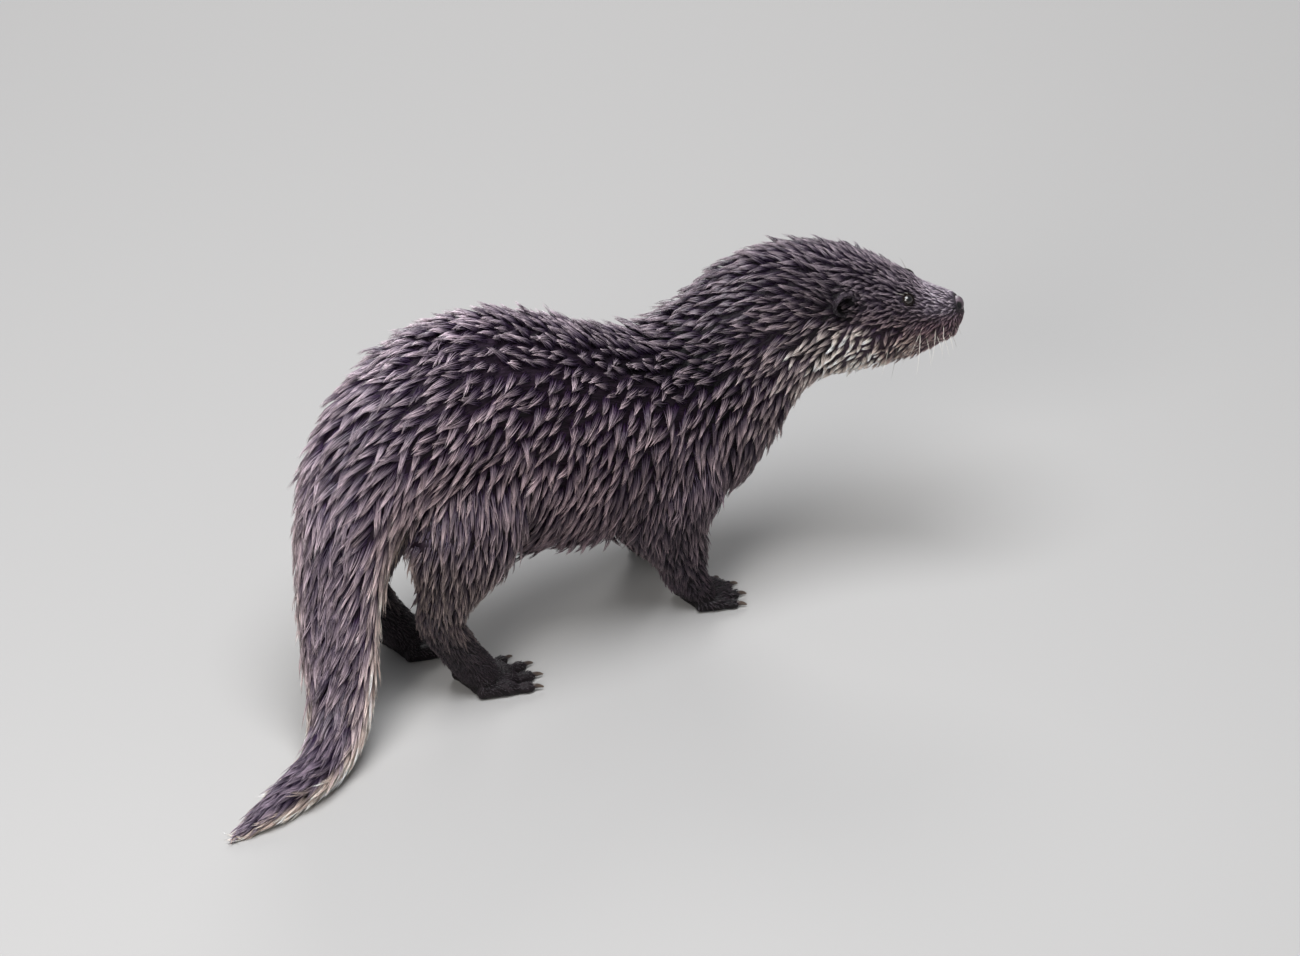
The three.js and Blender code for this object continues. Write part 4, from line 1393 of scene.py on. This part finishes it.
def make_whiskers():
    """Stiff, tapered, pale hairs that bend down under their own weight."""
    u = np.linspace(0, 1, 9)
    middles, reaches = [], []
    for (x, side, z), direction, long in whisker_roots():
        jitter = rng.normal(0, 1.3, 2)
        beside = from_head((x + jitter[0], side * 70, z + jitter[1]))
        hit = surface.ray_cast(Vector(beside), Vector(HEAD_TURN @ (0, -side, 0)))[0]
        if hit is None:
            continue
        reach = long * rng.uniform(0.75, 1.2)
        ahead = HEAD_TURN @ unit(np.array(direction) + rng.normal(0, 0.24, 3))
        sag = HEAD_TURN @ np.array((-0.12, 0, -0.2)) * rng.uniform(0.6, 1.3)
        middles.append(np.array(hit) + (u * reach)[:, None] * ahead - ahead + (u**2 * reach)[:, None] * sag)
        reaches.append(WHISKER_SIZE * (0.7 + 0.3 * reach / 40) * (1 - 0.85 * u**1.2))
    middle, reach = np.array(middles), np.array(reaches)
    ahead = unit(middle[:, -1] - middle[:, 0])
    across = unit(np.cross(ahead, (0.3, 0.2, 1.0)))
    up = np.cross(ahead, across)
    turn = np.arange(WHISKER_SIDES) / WHISKER_SIDES * 2 * math.pi
    corners = np.stack([np.sin(turn), -np.cos(turn)], 1)
    points = tapered(middle, across[:, None, None], up[:, None, None], reach, corners)
    share = np.tile(np.append(np.repeat(u[:-1], WHISKER_SIDES), 1), len(middle))
    points, faces = copies(points, tapered_faces(len(u), WHISKER_SIDES))
    pale = np.repeat(rng.random(len(middle)) < PALE_WHISKERS, len(share) // len(middle))
    tip = np.where(pale[:, None], WHISKER, WHISKER_ROOT)
    colour = blend(np.tile(WHISKER_ROOT, (len(points), 1)), tip, step(share, 0, 0.25))
    return tinted_object("whiskers", points, faces, colour)


# ---------- Materials ----------

NOISE_RANGE = (0.3, 0.7)  # between which most values of a noise lie
PATCHES = 160  # to the metre, in which a colour is uneven
HAIR_SHADE = (0.4, 1.7)  # brightness of the skin between short hairs and on them


def link(material, output, socket):
    material.node_tree.links.new(output, socket)


def shader_of(material):
    return material.node_tree.nodes["Principled BSDF"]


def plain(name, colour, roughness, **sockets):
    """A material of one colour, with constants on the shader's sockets."""
    material = bpy.data.materials.new(name)
    material.use_nodes = True
    inputs = shader_of(material).inputs
    inputs["Base Color"].default_value = colour
    inputs["Roughness"].default_value = roughness
    for socket, value in sockets.items():
        inputs[socket.replace("_", " ")].default_value = value
    return material


def mapped(material, values, old, new):
    """Values between the two of old, stretched to run between the two of new."""
    node = material.node_tree.nodes.new("ShaderNodeMapRange")
    for socket, value in zip(("From Min", "From Max", "To Min", "To Max"), (*old, *new)):
        node.inputs[socket].default_value = value
    link(material, values, node.inputs["Value"])
    return node.outputs["Result"]


def scaled(material, colour, values):
    """A colour times values."""
    node = material.node_tree.nodes.new("ShaderNodeVectorMath")
    node.operation = "SCALE"
    link(material, colour, node.inputs["Vector"])
    link(material, values, node.inputs["Scale"])
    return node.outputs["Vector"]


def noise(material, scale, low, high, detail=3.0, places=None):
    """Values from low to high out of a noise of so many cells to the metre, or to the unit of places."""
    nodes = material.node_tree.nodes
    if places is None:
        places = nodes.new("ShaderNodeTexCoord").outputs["Object"]
    texture = nodes.new("ShaderNodeTexNoise")
    texture.inputs["Scale"].default_value = scale
    texture.inputs["Detail"].default_value = detail
    link(material, places, texture.inputs["Vector"])
    return mapped(material, texture.outputs["Fac"], NOISE_RANGE, (low, high))


def tinted(name, roughness, uneven, **sockets):
    """A material that takes its colour from the markings, uneven by the given share."""
    material = plain(name, (1, 1, 1, 1), roughness, **sockets)
    tint = material.node_tree.nodes.new("ShaderNodeVertexColor")
    tint.layer_name = "tint"
    patches = noise(material, PATCHES, 1 - uneven, 1 + uneven)
    link(material, scaled(material, tint.outputs["Color"], patches), shader_of(material).inputs["Base Color"])
    return material


def raised(material, height, strength, distance):
    """Gives a material bumps from values of height, distance high in metres."""
    node = material.node_tree.nodes.new("ShaderNodeBump")
    node.inputs["Strength"].default_value = strength
    node.inputs["Distance"].default_value = distance
    link(material, height, node.inputs["Height"])
    link(material, node.outputs["Normal"], shader_of(material).inputs["Normal"])


def fur_material():
    fur = tinted("fur", 0.36, 0.16, Coat_Weight=0.3, Coat_Roughness=0.14)
    link(fur, noise(fur, 420, 0.28, 0.52), shader_of(fur).inputs["Roughness"])
    return fur


def skin_material():
    """Skin under fur. Its fine streaks follow the coat, by the attribute streak."""
    made = tinted("skin", 0.5, 0.2, Specular_IOR_Level=0.2)
    streak = made.node_tree.nodes.new("ShaderNodeAttribute")
    streak.attribute_name = "streak"
    hairs = noise(made, 1.0, 0, 1, 2.0, streak.outputs["Vector"])
    raised(made, hairs, 0.9, 0.0007)
    deepen_colour(made, hairs)
    return made


def deepen_colour(material, values):
    """Makes a material's colour darker where values are low and brighter where they are high."""
    base = shader_of(material).inputs["Base Color"]
    shade = mapped(material, values, (0, 1), HAIR_SHADE)
    link(material, scaled(material, base.links[0].from_socket, shade), base)


def nose_material():
    made = tinted("nose", 0.34, 0.12, Coat_Weight=0.3, Coat_Roughness=0.25)
    cells = made.node_tree.nodes.new("ShaderNodeTexVoronoi")
    cells.inputs["Scale"].default_value = 1100
    link(made, made.node_tree.nodes["Texture Coordinate"].outputs["Object"], cells.inputs["Vector"])
    raised(made, cells.outputs["Distance"], 0.5, 0.0004)
    return made


def claw_material():
    made = tinted("claw", 0.36, 0.2)
    raised(made, noise(made, 700, 0, 1), 0.25, 0.0002)
    return made


# Half the thickness of the body, by section number.
GIRTH = ((0, 8), (5, 28), (8, 75), (12, 80), (15, 64), (17, 52), (19, 35), (21, 20), (23, 10))


def streak_places():
    """Coordinates in millimetres, drawn out along the coat, in which a plain noise makes short fur."""
    turn = flesh.turn * 2 * math.pi
    along = np.where(on_leg, 30, 20) * flesh.at
    reach = np.where(on_leg, 22, by_section(*GIRTH))
    places = np.stack([0.22 * along, 0.9 * reach * np.cos(turn), 0.9 * reach * np.sin(turn)], 1)
    return spread(places, flesh.edges, 20)


# ---------- Stage ----------

CAMERA_TURN = math.radians(-36)  # from square to the right side, towards the tail
CAMERA_RISE = math.radians(30)
CAMERA_AWAY = 9000  # from the target
TARGET = np.array((36.8, -23.3, 150))  # the middle of the picture, in the frame of the body
PICTURE_WIDTH = 1130.4  # at the target
SENSOR = 36  # width


def add_camera():
    """The photo's view. The camera is far away, as behind a long lens."""
    data = bpy.data.cameras.new("camera")
    data.sensor_width = SENSOR
    data.lens = SENSOR * CAMERA_AWAY / PICTURE_WIDTH
    data.clip_end = 100
    camera = bpy.data.objects.new("camera", data)
    bpy.context.scene.collection.objects.link(camera)
    level = math.cos(CAMERA_RISE)
    back = Vector((math.sin(CAMERA_TURN) * level, -math.cos(CAMERA_TURN) * level, math.sin(CAMERA_RISE)))
    camera.location = Vector((TARGET + SHIFT) * MM) + back * CAMERA_AWAY * MM
    camera.rotation_euler = (-back).to_track_quat("-Z", "Y").to_euler()
    bpy.context.scene.camera = camera


LAMPS = (  # place in metres, the height over the origin it is turned to, size, power and colour
    ("sky", (-0.6, -0.5, 3.0), 0.1, 2.2, 112, (0.95, 0.97, 1.0)),
    ("key", (-2.6, -1.6, 1.9), 0.15, 1.3, 46, (1.0, 0.98, 0.95)),
    ("rim", (1.8, 2.4, 1.8), 0.15, 1.4, 38, (1.0, 1.0, 1.0)),
)


def add_lamp(name, at, height, size, power, colour):
    """A soft round lamp."""
    data = bpy.data.lights.new(name, "AREA")
    data.shape = "DISK"
    data.size = size
    data.energy = power
    data.color = colour
    lamp = bpy.data.objects.new(name, data)
    bpy.context.scene.collection.objects.link(lamp)
    lamp.location = at
    lamp.rotation_euler = (Vector((0, 0, height)) - Vector(at)).to_track_quat("-Z", "Y").to_euler()


def add_stage():
    """A plain pale floor under soft studio light."""
    bpy.ops.mesh.primitive_plane_add(size=60)
    floor = bpy.context.object
    floor.name = "floor"
    floor.data.materials.append(plain("floor", srgb(176, 174, 172), 0.85))
    for lamp in LAMPS:
        add_lamp(*lamp)
    world = bpy.data.worlds.new("studio")
    bpy.context.scene.world = world
    world.use_nodes = True
    world.node_tree.nodes["Background"].inputs["Color"].default_value = srgb(226, 230, 236)
    world.node_tree.nodes["Background"].inputs["Strength"].default_value = 0.3


add_camera()
add_stage()
bpy.context.scene.view_settings.view_transform = "Standard"

# ---------- Putting it together ----------


def finish(piece, slot, material, *nodes):
    """A piece that stands still with the whole, in place of the given nodes of the solids."""
    piece.data.materials.append(material)
    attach(piece, "root")
    if nodes:
        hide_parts(*nodes)


def named(start):
    return [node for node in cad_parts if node.startswith(start)]


paint(skin.data, skin_colours())
streak = skin.data.attributes.new("streak", "FLOAT_VECTOR", "POINT")
streak.data.foreach_set("vector", streak_places().astype(np.float32).ravel())
apart = named("claw") + named("eye") + named("nose")
finish(skin, "coat", skin_material(), *[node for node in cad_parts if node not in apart])

fur = fur_material()
for piece in make_coat():
    finish(piece, "coat", fur)
glass = tinted("eye", 0.14, 0.05, Coat_Weight=1.0, Coat_Roughness=0.1)
finish(make_eye("eyeball_right", -1), "eye", glass, "eye_right")
finish(make_eye("eyeball_left", 1), "eye", glass, "eye_left")
finish(make_nose(), "nose", nose_material(), "nose_pad")
finish(make_claws(), "claw", claw_material(), *named("claw"))
finish(make_whiskers(), "pale_coat", tinted("whisker", 0.35, 0.05))
